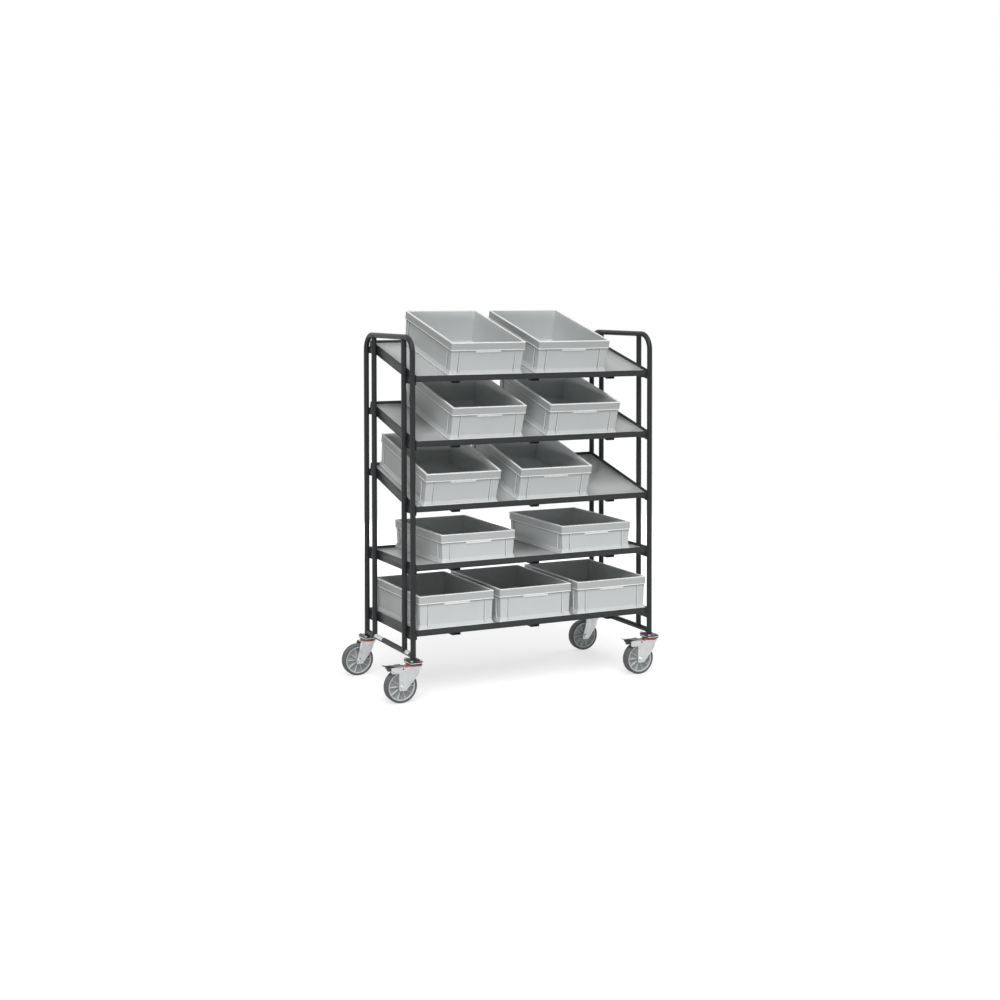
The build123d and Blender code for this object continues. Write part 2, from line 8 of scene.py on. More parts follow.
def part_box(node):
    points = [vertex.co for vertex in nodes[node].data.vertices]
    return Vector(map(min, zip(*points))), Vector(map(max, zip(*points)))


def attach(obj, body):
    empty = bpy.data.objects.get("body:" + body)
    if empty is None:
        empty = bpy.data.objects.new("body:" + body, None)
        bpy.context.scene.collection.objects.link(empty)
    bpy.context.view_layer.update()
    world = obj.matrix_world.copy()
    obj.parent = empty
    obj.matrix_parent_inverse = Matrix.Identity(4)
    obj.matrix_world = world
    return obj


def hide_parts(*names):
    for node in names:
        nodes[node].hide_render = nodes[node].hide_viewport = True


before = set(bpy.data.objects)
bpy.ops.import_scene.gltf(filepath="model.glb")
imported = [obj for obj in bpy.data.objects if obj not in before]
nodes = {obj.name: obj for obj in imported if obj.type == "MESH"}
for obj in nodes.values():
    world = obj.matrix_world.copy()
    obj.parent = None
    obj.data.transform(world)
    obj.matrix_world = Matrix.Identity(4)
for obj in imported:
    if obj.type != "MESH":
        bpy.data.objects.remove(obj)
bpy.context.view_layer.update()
scene = bpy.context.scene

# Everything is in metres, in the model's own frame: +X along the trolley, +Y to its rear, +Z up.
MM = 0.001
SHELVES = ("bottom", "lower", "middle", "upper", "top")
CORNERS = ("front_left", "front_right", "rear_left", "rear_right")


def linear(code):
    """An sRGB hex colour as linear RGBA."""
    levels = [int(code[i : i + 2], 16) / 255 for i in (1, 3, 5)]
    return (*(c / 12.92 if c <= 0.04045 else ((c + 0.055) / 1.055) ** 2.4 for c in levels), 1.0)


def put(tree, kind, inputs=None, **settings):
    """Add a node to a tree, with its settings, its values and its links."""
    node = tree.nodes.new(kind)
    for name, value in settings.items():
        setattr(node, name, value)
    for key, value in (inputs or {}).items():
        if isinstance(value, bpy.types.NodeSocket):
            tree.links.new(value, node.inputs[key])
        else:
            node.inputs[key].default_value = value
    return node


# Finishes


def start_finish(name, **fixed):
    """A new material: its tree, its shader with the fixed values set, and Object coordinates for its patterns."""
    finish = bpy.data.materials.new(name)
    finish.use_nodes = True
    tree = finish.node_tree
    tree.nodes.clear()
    shader = put(tree, "ShaderNodeBsdfPrincipled")
    for socket, value in fixed.items():
        shader.inputs[socket.replace("_", " ")].default_value = value
    put(tree, "ShaderNodeOutputMaterial", {"Surface": shader.outputs["BSDF"]})
    place = put(tree, "ShaderNodeTexCoord").outputs["Object"]
    return finish, tree, shader, place


def link_finish(tree, shader, colour, gloss, relief):
    """Give a shader its colour, its roughness and its fine relief."""
    tree.links.new(colour.outputs[2], shader.inputs["Base Color"])
    tree.links.new(gloss.outputs[0], shader.inputs["Roughness"])
    tree.links.new(relief.outputs[0], shader.inputs["Normal"])


def powder_coat(name, dark, pale):
    """Satin powder coat on steel tube and sheet, sprayed and baked: an even dark grey with a faint orange peel that
    breaks up its long highlights. The peel is about 1.5 mm and is drawn at 4 mm, so that it shows."""
    finish, tree, shader, place = start_finish(name, IOR=1.5, Specular_IOR_Level=0.18)
    cloud = put(tree, "ShaderNodeTexNoise", {"Vector": place, "Scale": 1 / (60 * MM), "Detail": 3.0})
    tone = put(tree, "ShaderNodeMix", {0: cloud.outputs[0], 6: linear(dark), 7: linear(pale)}, data_type="RGBA")
    peel = put(tree, "ShaderNodeTexNoise", {"Vector": place, "Scale": 1 / (4 * MM), "Detail": 2.0, "Roughness": 0.4})
    gloss = put(
        tree,
        "ShaderNodeMapRange",
        {"Value": peel.outputs[0], "From Min": 0.3, "From Max": 0.7, "To Min": 0.28, "To Max": 0.4},
    )
    bump = put(tree, "ShaderNodeBump", {"Height": peel.outputs[0], "Strength": 0.25, "Distance": 0.25 * MM})
    link_finish(tree, shader, tone, gloss, bump)
    return finish


def melamine_board():
    """Light grey melamine facing on chipboard, pressed smooth: matt, with a fine speckle and a faint cloudiness.
    The speckle is under 1 mm and is drawn at 3 mm."""
    finish, tree, shader, place = start_finish("light grey melamine facing", IOR=1.5)
    cloud = put(tree, "ShaderNodeTexNoise", {"Vector": place, "Scale": 1 / (150 * MM), "Detail": 2.0})
    speck = put(tree, "ShaderNodeTexNoise", {"Vector": place, "Scale": 1 / (3 * MM), "Detail": 1.0})
    tone = put(
        tree, "ShaderNodeMix", {0: cloud.outputs[0], 6: linear("#AFB1B1"), 7: linear("#B7B9B9")}, data_type="RGBA"
    )
    dots = put(
        tree, "ShaderNodeMapRange", {"Value": speck.outputs[0], "From Min": 0.62, "From Max": 0.75, "To Max": 0.35}
    )
    surface = put(
        tree, "ShaderNodeMix", {0: dots.outputs[0], 6: tone.outputs[2], 7: linear("#9B9D9D")}, data_type="RGBA"
    )
    gloss = put(tree, "ShaderNodeMapRange", {"Value": cloud.outputs[0], "To Min": 0.3, "To Max": 0.42})
    bump = put(tree, "ShaderNodeBump", {"Height": speck.outputs[0], "Strength": 0.08, "Distance": 0.1 * MM})
    link_finish(tree, shader, surface, gloss, bump)
    return finish


def box_plastic():
    """Polypropylene, injection moulded in a lightly grained tool: silver grey and satin, with faint cloudy flow in the
    walls. It is paler along the rim, the foot, the grip lip and the rib crests, a painted highlight broken up by a rub
    pattern, darker in a line beside each rib and just under the rim, painted shade, and a little darker on the rim's
    band. The grain is about 0.5 mm and is drawn at 1.5 mm."""
    finish, tree, shader, place = start_finish("moulded grey polypropylene", IOR=1.49)
    flow = put(tree, "ShaderNodeTexNoise", {"Vector": place, "Scale": 1 / (110 * MM), "Detail": 3.0, "Distortion": 0.6})
    grain = put(tree, "ShaderNodeTexNoise", {"Vector": place, "Scale": 1 / (1.5 * MM), "Detail": 1.0})
    tone = put(
        tree, "ShaderNodeMix", {0: flow.outputs[0], 6: linear("#C8CBCB"), 7: linear("#D0D3D3")}, data_type="RGBA"
    )
    # Paler along the rim, the foot, the grip lip and the rib crests: a painted highlight, broken up by this rub pattern
    rub = put(tree, "ShaderNodeTexNoise", {"Vector": place, "Scale": 1 / (9 * MM), "Detail": 4.0, "Roughness": 0.7})
    rubbed_highlight = put(tree, "ShaderNodeMapRange", {"Value": rub.outputs[0], "From Min": 0.26, "From Max": 0.46})
    wear_and_painted_light = put(tree, "ShaderNodeAttribute", attribute_name="wear_and_painted_light")
    share = put(
        tree,
        "ShaderNodeMath",
        {0: rubbed_highlight.outputs[0], 1: wear_and_painted_light.outputs["Fac"]},
        operation="MULTIPLY",
        use_clamp=True,
    )
    # Darker in a line beside each rib and just under the rim: painted shade; the rim's band is a little darker too
    dust_and_painted_light = put(tree, "ShaderNodeMapRange", {"Value": wear_and_painted_light.outputs["Fac"], "From Min": 0.0, "From Max": -1.0})
    painted_shade_tone = put(
        tree, "ShaderNodeMix", {0: dust_and_painted_light.outputs[0], 6: tone.outputs[2], 7: linear("#666868")}, data_type="RGBA"
    )
    surface = put(
        tree, "ShaderNodeMix", {0: share.outputs[0], 6: painted_shade_tone.outputs[2], 7: linear("#FCFDFD")}, data_type="RGBA"
    )
    gloss = put(tree, "ShaderNodeMapRange", {"Value": flow.outputs[0], "To Min": 0.36, "To Max": 0.5})
    bump = put(tree, "ShaderNodeBump", {"Height": grain.outputs[0], "Strength": 0.1, "Distance": 0.1 * MM})
    link_finish(tree, shader, surface, gloss, bump)
    return finish


def zinc_plate():
    """Bright zinc plating on pressed steel, blue passivated: a soft mirror, cloudy in brightness and a little warm or
    cool from place to place, with fine press lines. The lines are about 0.3 mm and are drawn at 1.2 mm."""
    finish, tree, shader, place = start_finish("bright zinc plating", Metallic=1.0)
    cloud = put(tree, "ShaderNodeTexNoise", {"Vector": place, "Scale": 1 / (22 * MM), "Detail": 4.0, "Distortion": 0.4})
    tone = put(
        tree, "ShaderNodeMix", {0: cloud.outputs[0], 6: linear("#AEB4B9"), 7: linear("#DADAD6")}, data_type="RGBA"
    )
    stretch = put(tree, "ShaderNodeMapping", {"Vector": place, "Scale": (0.12, 0.12, 1.0)})
    lines = put(tree, "ShaderNodeTexNoise", {"Vector": stretch.outputs[0], "Scale": 1 / (1.2 * MM), "Detail": 2.0})
    gloss = put(
        tree,
        "ShaderNodeMapRange",
        {"Value": cloud.outputs[0], "From Min": 0.3, "From Max": 0.7, "To Min": 0.26, "To Max": 0.44},
    )
    bump = put(tree, "ShaderNodeBump", {"Height": lines.outputs[0], "Strength": 0.12, "Distance": 0.1 * MM})
    link_finish(tree, shader, tone, gloss, bump)
    return finish


def tyre_rubber():
    """Grey non-marking rubber, moulded: matt, with a dusty, scuffed tread and a fine pebbling, drawn at 2 mm."""
    finish, tree, shader, place = start_finish("grey tyre rubber", IOR=1.52)
    dust_and_painted_light = put(tree, "ShaderNodeTexNoise", {"Vector": place, "Scale": 1 / (14 * MM), "Detail": 5.0, "Roughness": 0.65})
    pebble = put(tree, "ShaderNodeTexNoise", {"Vector": place, "Scale": 1 / (2 * MM), "Detail": 2.0})
    tone = put(
        tree, "ShaderNodeMix", {0: dust_and_painted_light.outputs[0], 6: linear("#464848"), 7: linear("#5A5C5C")}, data_type="RGBA"
    )
    wear_and_painted_light = put(tree, "ShaderNodeAttribute", attribute_name="wear_and_painted_light")
    share = put(tree, "ShaderNodeMath", {0: dust_and_painted_light.outputs[0], 1: wear_and_painted_light.outputs["Fac"]}, operation="MULTIPLY")
    surface = put(
        tree, "ShaderNodeMix", {0: share.outputs[0], 6: tone.outputs[2], 7: linear("#77787A")}, data_type="RGBA"
    )
    gloss = put(tree, "ShaderNodeMapRange", {"Value": dust_and_painted_light.outputs[0], "To Min": 0.6, "To Max": 0.85})
    bump = put(tree, "ShaderNodeBump", {"Height": pebble.outputs[0], "Strength": 0.2, "Distance": 0.15 * MM})
    link_finish(tree, shader, surface, gloss, bump)
    return finish


def wheel_plastic():
    """Polyamide wheel body, injection moulded: mid grey and satin, with a cloudy flow and a grain drawn at 1.5 mm. Its
    rim
    edges and rib edges are painted paler: a painted highlight.
    """
    finish, tree, shader, place = start_finish("moulded grey polyamide", IOR=1.53)
    flow = put(tree, "ShaderNodeTexNoise", {"Vector": place, "Scale": 1 / (25 * MM), "Detail": 3.0})
    grain = put(tree, "ShaderNodeTexNoise", {"Vector": place, "Scale": 1 / (1.5 * MM), "Detail": 1.0})
    tone = put(
        tree, "ShaderNodeMix", {0: flow.outputs[0], 6: linear("#888C8E"), 7: linear("#979A9B")}, data_type="RGBA"
    )
    wear_and_painted_light = put(tree, "ShaderNodeAttribute", attribute_name="wear_and_painted_light")
    surface = put(
        tree, "ShaderNodeMix", {0: wear_and_painted_light.outputs["Fac"], 6: tone.outputs[2], 7: linear("#C9CCCC")}, data_type="RGBA"
    )
    gloss = put(tree, "ShaderNodeMapRange", {"Value": flow.outputs[0], "To Min": 0.35, "To Max": 0.5})
    bump = put(tree, "ShaderNodeBump", {"Height": grain.outputs[0], "Strength": 0.12, "Distance": 0.1 * MM})
    link_finish(tree, shader, surface, gloss, bump)
    return finish


def plain_trim(name, dark, pale, low, high, **fixed):
    """Small trim in one colour, with slight unevenness of tone and gloss and a grain drawn at 1.5 mm. Where a mesh's
    attribute is set, the trim is painted near black: painted shade."""
    finish, tree, shader, place = start_finish(name, **fixed)
    flow = put(tree, "ShaderNodeTexNoise", {"Vector": place, "Scale": 1 / (12 * MM), "Detail": 4.0})
    grain = put(tree, "ShaderNodeTexNoise", {"Vector": place, "Scale": 1 / (1.5 * MM), "Detail": 1.0})
    tone = put(tree, "ShaderNodeMix", {0: flow.outputs[0], 6: linear(dark), 7: linear(pale)}, data_type="RGBA")
    wear_and_painted_light = put(tree, "ShaderNodeAttribute", attribute_name="wear_and_painted_light")
    painted_shade_mix = put(
        tree, "ShaderNodeMix", {0: wear_and_painted_light.outputs["Fac"], 6: tone.outputs[2], 7: linear("#1C1B1B")}, data_type="RGBA"
    )
    gloss = put(tree, "ShaderNodeMapRange", {"Value": flow.outputs[0], "To Min": low, "To Max": high})
    bump = put(tree, "ShaderNodeBump", {"Height": grain.outputs[0], "Strength": 0.12, "Distance": 0.1 * MM})
    link_finish(tree, shader, painted_shade_mix, gloss, bump)
    return finish


POWDER_COAT = powder_coat("satin anthracite powder coat on sheet", "#353738", "#3E4041")
# The same coat on the tubes, in a darker tone: painted shade, because the round tubes show darker than the flat sheet
# parts under the same light
SHADED_TUBE_COAT = powder_coat("satin anthracite powder coat on tube", "#2B2D2E", "#343637")
BOARD = melamine_board()
BOX_PLASTIC = box_plastic()
ZINC = zinc_plate()
RUBBER = tyre_rubber()
WHEEL_PLASTIC = wheel_plastic()
# Polyethylene ring, moulded in red, with the soft shine of a worn seal
RED_SEAL = plain_trim("moulded red seal plastic", "#D8302B", "#EE4038", 0.4, 0.55, IOR=1.5)
# Glass-filled polyamide, moulded in black, a little grey where shoes scuff it
BLACK_PEDAL = plain_trim("moulded black pedal plastic", "#141515", "#232525", 0.4, 0.6, IOR=1.53)
# Vinyl film, blank, smooth and brighter than everything round it
LABEL_FILM = plain_trim("white vinyl label film", "#DFE1E1", "#F2F3F3", 0.25, 0.4, IOR=1.5)
# Zinc plating with a black passivation, dipped: dark, with a dull metal sheen
BLACK_ZINC = plain_trim("black passivated zinc plating", "#2A2B2C", "#3C3E3F", 0.35, 0.5, Metallic=0.6)
# Zinc plating that is worn and greasy, so that it is patchy from dark to bright
WORN_ZINC = plain_trim("worn greasy zinc plating", "#3A3B3C", "#D2D2CE", 0.3, 0.5, Metallic=0.85)


# Making meshes


def soften(mesh, angle=32):
    """Smooth shading, with edges over an angle kept sharp."""
    mesh.shade_smooth()
    mesh.set_sharp_from_angle(angle=radians(angle))
    return mesh


def new_piece(name, mesh, finish):
    """A finished piece at the origin, with its place in its mesh."""
    mesh.materials.clear()
    mesh.materials.append(finish)
    piece = bpy.data.objects.new(name, mesh)
    scene.collection.objects.link(piece)
    return piece


def settle(piece, body, slot, *replaced):
    """Fix a piece to its body and hide the solids it stands for. Its slot is not used."""
    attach(piece, body)
    if replaced:
        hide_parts(*replaced)
    return piece


def shape_of(build):
    """Mesh from a function that fills a bmesh, with doubles merged and faces turned outwards."""
    shape = bmesh.new()
    build(shape)
    bmesh.ops.remove_doubles(shape, verts=shape.verts, dist=1e-7)
    bmesh.ops.recalc_face_normals(shape, faces=shape.faces)
    mesh = bpy.data.meshes.new("shape")
    shape.to_mesh(mesh)
    shape.free()
    return mesh


def rounded(corners, radius, steps=4):
    """The corners of a closed outline, each rounded."""
    points = []
    for before, corner, after in zip(corners[-1:] + corners[:-1], corners, corners[1:] + corners[:1]):
        corner = Vector(corner)
        back, ahead = Vector(before) - corner, Vector(after) - corner
        run = min(radius, 0.45 * back.length, 0.45 * ahead.length)
        start, end = corner + back.normalized() * run, corner + ahead.normalized() * run
        for step in range(steps + 1):
            t = step / steps
            points.append(start.lerp(corner, t).lerp(corner.lerp(end, t), t))
    return points


def loft(rings, wear_and_painted_light=None):
    """Closed shell through rings of equal length, with flat ends, and a value of rubbing and painted light for each
    point.
    """
    count = len(rings[0])

    def build(shape):
        layer = shape.verts.layers.float.new("wear_and_painted_light")
        rows = []
        for index, ring in enumerate(rings):
            rows.append([shape.verts.new(point) for point in ring])
            for vert, worn in zip(rows[-1], wear_and_painted_light[index] if wear_and_painted_light else [0.0] * count):
                vert[layer] = worn
        for low, high in zip(rows, rows[1:]):
            for i in range(count):
                j = (i + 1) % count
                shape.faces.new((low[i], low[j], high[j], high[i]))
        shape.faces.new(rows[0][::-1])
        shape.faces.new(rows[-1])

    return shape_of(build)


def lathe(outline, centre, axis, steps=72, wear_and_painted_light=None):
    """Closed ring or disc: an outline of (radius, along) points turned about an axis through a centre."""
    along = Vector(axis)
    side = Vector((1, 0, 0))
    other = along.cross(side)
    count = len(outline)

    def build(shape):
        layer = shape.verts.layers.float.new("wear_and_painted_light")
        rows = []
        for step in range(steps):
            turn = 2 * pi * step / steps
            out = side * cos(turn) + other * sin(turn)
            rows.append([shape.verts.new(Vector(centre) + out * r + along * a) for r, a in outline])
            for index, vert in enumerate(rows[-1]):
                vert[layer] = wear_and_painted_light(*outline[index]) if wear_and_painted_light else 0.0
        for row, following in zip(rows, rows[1:] + rows[:1]):
            for i in range(count):
                j = (i + 1) % count
                shape.faces.new((row[i], row[j], following[j], following[i]))

    return shape_of(build)


def prism(outline, low, high):
    """Outline of (x, z) points drawn out along Y."""
    return loft([[Vector((x, y, z)) for x, z in outline] for y in (low, high)])


def bevelled(mesh, width, segments=2, angle=40):
    """A mesh with its sharp edges broken by a small radius."""
    holder = bpy.data.objects.new("holder", mesh)
    scene.collection.objects.link(holder)
    edge = holder.modifiers.new("edge radius", "BEVEL")
    edge.width = width
    edge.segments = segments
    edge.limit_method = "ANGLE"
    edge.angle_limit = radians(angle)
    result = bpy.data.meshes.new_from_object(holder.evaluated_get(bpy.context.evaluated_depsgraph_get()))
    bpy.data.objects.remove(holder)
    return soften(result)


def rounded_copy(node, width, segments=2):
    """A solid of the model with its sharp edges broken by a small radius."""
    shape = bmesh.new()
    shape.from_mesh(nodes[node].data)
    bmesh.ops.remove_doubles(shape, verts=shape.verts, dist=1e-6)
    bmesh.ops.dissolve_limit(shape, angle_limit=radians(0.5), verts=shape.verts, edges=shape.edges)
    mesh = bpy.data.meshes.new(node)
    shape.to_mesh(mesh)
    shape.free()
    return bevelled(mesh, width, segments)


def joined(*meshes):
    """Several meshes as one."""
    shape = bmesh.new()
    for mesh in meshes:
        shape.from_mesh(mesh)
    result = bpy.data.meshes.new("joined")
    shape.to_mesh(result)
    shape.free()
    return result


def extent(node):
    """Lowest and highest corner of a node at rest."""
    return [Vector(corner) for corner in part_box(node)]


def solids(node):
    """Lowest and highest corner of each separate solid in a node."""
    shape = bmesh.new()
    shape.from_mesh(nodes[node].data)
    bmesh.ops.remove_doubles(shape, verts=shape.verts, dist=1e-6)
    waiting = set(shape.verts)
    found = []
    while waiting:
        reach = [waiting.pop()]
        members = []
        while reach:
            vert = reach.pop()
            members.append(vert.co.copy())
            for edge in vert.link_edges:
                other = edge.other_vert(vert)
                if other in waiting:
                    waiting.remove(other)
                    reach.append(other)
        found.append(
            (
                Vector([min(p[i] for p in members) for i in range(3)]),
                Vector([max(p[i] for p in members) for i in range(3)]),
            )
        )
    shape.free()
    return sorted(found, key=lambda solid: tuple(solid[0]))


# Geometry Nodes trees


def start_tree(name, sizes):
    """A Geometry Nodes tree with named inputs for its sizes, and those inputs by name."""
    tree = bpy.data.node_groups.new(name, "GeometryNodeTree")
    tree.interface.new_socket("Geometry", in_out="INPUT", socket_type="NodeSocketGeometry")
    for size, value in sizes.items():
        kind = "NodeSocketInt" if isinstance(value, int) else "NodeSocketFloat"
        tree.interface.new_socket(size, in_out="INPUT", socket_type=kind).default_value = value
    tree.interface.new_socket("Finish", in_out="INPUT", socket_type="NodeSocketMaterial")
    tree.interface.new_socket("Geometry", in_out="OUTPUT", socket_type="NodeSocketGeometry")
    return tree, {output.name: output for output in put(tree, "NodeGroupInput").outputs if output.name}


def end_tree(tree, given, geometry):
    """Make instances real, set the finish and end the tree."""
    real = put(tree, "GeometryNodeRealizeInstances", {"Geometry": geometry})
    painted = put(tree, "GeometryNodeSetMaterial", {"Geometry": real.outputs[0], "Material": given["Finish"]})
    put(tree, "NodeGroupOutput", {"Geometry": painted.outputs[0]})
    return tree


def tube_tree():
    """Round tube along paths, with bends of one radius at their corners."""
    tree, given = start_tree(
        "round tube along a path", {"Outside radius": 13.45 * MM, "Bend radius": 80 * MM, "Bend steps": 16, "Sides": 40}
    )
    path = put(tree, "GeometryNodeMeshToCurve", {"Mesh": given["Geometry"]})
    bent = put(
        tree,
        "GeometryNodeFilletCurve",
        {"Curve": path.outputs[0], "Count": given["Bend steps"], "Radius": given["Bend radius"], "Limit Radius": True},
        mode="POLY",
    )
    ring = put(
        tree, "GeometryNodeCurvePrimitiveCircle", {"Resolution": given["Sides"], "Radius": given["Outside radius"]}
    )
    wall = put(
        tree,
        "GeometryNodeCurveToMesh",
        {"Curve": bent.outputs[0], "Profile Curve": ring.outputs[0], "Fill Caps": True},
    )
    return end_tree(tree, given, wall.outputs[0])


def weld_tree():
    """Weld bead along seams, rippled where each drop of metal set."""
    tree, given = start_tree(
        "weld bead along a seam", {"Bead radius": 2.2 * MM, "Ripple": 0.14, "Ripple pitch": 4 * MM, "Sides": 8}
    )
    seam = put(tree, "GeometryNodeMeshToCurve", {"Mesh": given["Geometry"]})
    step = put(tree, "ShaderNodeMath", {0: given["Ripple pitch"], 1: 4.0}, operation="DIVIDE")
    fine = put(
        tree, "GeometryNodeResampleCurve", {"Curve": seam.outputs[0], "Length": step.outputs[0]}, mode="LENGTH"
    )
    along = put(tree, "GeometryNodeSplineParameter")
    drops = put(
        tree, "ShaderNodeMath", {0: along.outputs["Length"], 1: given["Ripple pitch"]}, operation="DIVIDE"
    )
    turn = put(tree, "ShaderNodeMath", {0: drops.outputs[0], 1: 2 * pi}, operation="MULTIPLY")
    wave = put(tree, "ShaderNodeMath", {0: turn.outputs[0]}, operation="SINE")
    swell = put(
        tree, "ShaderNodeMath", {0: wave.outputs[0], 1: given["Ripple"], 2: 1.0}, operation="MULTIPLY_ADD"
    )
    ring = put(
        tree, "GeometryNodeCurvePrimitiveCircle", {"Resolution": given["Sides"], "Radius": given["Bead radius"]}
    )
    bead = put(
        tree,
        "GeometryNodeCurveToMesh",
        {"Curve": fine.outputs[0], "Profile Curve": ring.outputs[0], "Scale": swell.outputs[0], "Fill Caps": True},
    )
    return end_tree(tree, given, bead.outputs[0])


def fastener_tree():
    """Hex head with a chamfered top and a plain shank on each seat, facing its own way and turned as tightened."""
    tree, given = start_tree(
        "hex fastener on each seat",
        {
            "Flats": 13 * MM,
            "Height": 5.3 * MM,
            "Chamfer": 0.18,
            "Shank radius": 4 * MM,
            "Shank length": 20 * MM,
            "Seed": 7,
        },
    )
    radius = put(tree, "ShaderNodeMath", {0: given["Flats"], 1: sqrt(3)}, operation="DIVIDE")
    tip = put(tree, "ShaderNodeMath", {0: given["Height"], 1: given["Chamfer"]}, operation="MULTIPLY")
    depth = put(tree, "ShaderNodeMath", {0: given["Height"], 1: tip.outputs[0]}, operation="SUBTRACT")
    middle = put(tree, "ShaderNodeMath", {0: depth.outputs[0], 1: 0.5}, operation="MULTIPLY")
    lift = put(tree, "ShaderNodeCombineXYZ", {"Z": middle.outputs[0]})
    block = put(
        tree, "GeometryNodeMeshCylinder", {"Vertices": 6, "Radius": radius.outputs[0], "Depth": depth.outputs[0]}
    )
    raised = put(
        tree,
        "GeometryNodeExtrudeMesh",
        {"Mesh": block.outputs["Mesh"], "Selection": block.outputs["Top"], "Offset Scale": tip.outputs[0]},
    )
    head = put(
        tree,
        "GeometryNodeScaleElements",
        {"Geometry": raised.outputs["Mesh"], "Selection": raised.outputs["Top"], "Scale": 0.86},
    )
    seated = put(tree, "GeometryNodeTransform", {"Geometry": head.outputs[0], "Translation": lift.outputs[0]})
    rod = put(
        tree,
        "GeometryNodeMeshCylinder",
        {"Vertices": 20, "Radius": given["Shank radius"], "Depth": given["Shank length"]},
    )
    drop = put(tree, "ShaderNodeMath", {0: given["Shank length"], 1: -0.5}, operation="MULTIPLY")
    down = put(tree, "ShaderNodeCombineXYZ", {"Z": drop.outputs[0]})
    shank = put(tree, "GeometryNodeTransform", {"Geometry": rod.outputs["Mesh"], "Translation": down.outputs[0]})
    both = put(tree, "GeometryNodeJoinGeometry", {"Geometry": seated.outputs[0]})
    tree.links.new(shank.outputs[0], both.inputs[0])
    facing = put(tree, "GeometryNodeInputNamedAttribute", {"Name": "facing"}, data_type="FLOAT_VECTOR")
    turned = put(tree, "FunctionNodeAlignRotationToVector", {"Vector": facing.outputs[0]}, axis="Z")
    spread = put(
        tree,
        "GeometryNodeInstanceOnPoints",
        {"Points": given["Geometry"], "Instance": both.outputs[0], "Rotation": turned.outputs[0]},
    )
    tight = put(tree, "FunctionNodeRandomValue", {2: 0.0, 3: pi / 3, "Seed": given["Seed"]}, data_type="FLOAT")
    twist = put(tree, "ShaderNodeCombineXYZ", {"Z": tight.outputs[1]})
    set_home = put(
        tree,
        "GeometryNodeRotateInstances",
        {"Instances": spread.outputs[0], "Rotation": twist.outputs[0], "Local Space": True},
    )
    return end_tree(tree, given, set_home.outputs[0])


def rib_tree():
    """Ribs with rounded edges, set evenly round each wheel centre like spokes about Y."""
    tree, given = start_tree(
        "ribs round a hub",
        {
            "Ribs": 10,
            "Hub radius": 20 * MM,
            "Rim radius": 63 * MM,
            "Thickness": 3 * MM,
            "Depth": 37 * MM,
            "Edge": 1 * MM,
        },
    )
    inner = put(tree, "ShaderNodeCombineXYZ", {"X": given["Hub radius"]})
    outer = put(tree, "ShaderNodeCombineXYZ", {"X": given["Rim radius"]})
    reach = put(
        tree, "GeometryNodeCurvePrimitiveLine", {"Start": inner.outputs[0], "End": outer.outputs[0]}, mode="POINTS"
    )
    upright = put(tree, "GeometryNodeSetCurveNormal", {"Curve": reach.outputs[0]}, mode="Z_UP")
    section = put(
        tree,
        "GeometryNodeCurvePrimitiveQuadrilateral",
        {"Width": given["Depth"], "Height": given["Thickness"]},
        mode="RECTANGLE",
    )
    eased = put(
        tree,
        "GeometryNodeFilletCurve",
        {"Curve": section.outputs[0], "Count": 3, "Radius": given["Edge"], "Limit Radius": True},
        mode="POLY",
    )
    rib = put(
        tree,
        "GeometryNodeCurveToMesh",
        {"Curve": upright.outputs[0], "Profile Curve": eased.outputs[0], "Fill Caps": True},
    )
    place = put(tree, "ShaderNodeSeparateXYZ", {"Vector": put(tree, "GeometryNodeInputPosition").outputs[0]})
    depth = put(tree, "ShaderNodeMath", {0: place.outputs["Y"]}, operation="ABSOLUTE")
    # Beyond this share of the depth, each rib's edges are painted paler: a painted highlight
    highlit_from = 0.44  # of the depth, to each side of the middle
    deep = put(tree, "ShaderNodeMath", {0: given["Depth"], 1: highlit_from}, operation="MULTIPLY")
    edge = put(tree, "ShaderNodeMath", {0: depth.outputs[0], 1: deep.outputs[0]}, operation="GREATER_THAN")
    rib = put(
        tree,
        "GeometryNodeStoreNamedAttribute",
        {"Geometry": rib.outputs[0], "Name": "wear_and_painted_light", "Value": edge.outputs[0]},
        data_type="FLOAT",
        domain="POINT",
    )
    spokes = put(tree, "GeometryNodePoints", {"Count": given["Ribs"]})
    number = put(tree, "GeometryNodeInputIndex")
    share = put(tree, "ShaderNodeMath", {0: number.outputs[0], 1: given["Ribs"]}, operation="DIVIDE")
    angle = put(tree, "ShaderNodeMath", {0: share.outputs[0], 1: 2 * pi}, operation="MULTIPLY")
    about = put(tree, "ShaderNodeCombineXYZ", {"Y": angle.outputs[0]})
    star = put(
        tree,
        "GeometryNodeInstanceOnPoints",
        {"Points": spokes.outputs[0], "Instance": rib.outputs[0], "Rotation": about.outputs[0]},
    )
    wheels = put(
        tree, "GeometryNodeInstanceOnPoints", {"Points": given["Geometry"], "Instance": star.outputs[0]}
    )
    return end_tree(tree, given, wheels.outputs[0])


TUBE = tube_tree()
WELD = weld_tree()
FASTENER = fastener_tree()
RIBS = rib_tree()


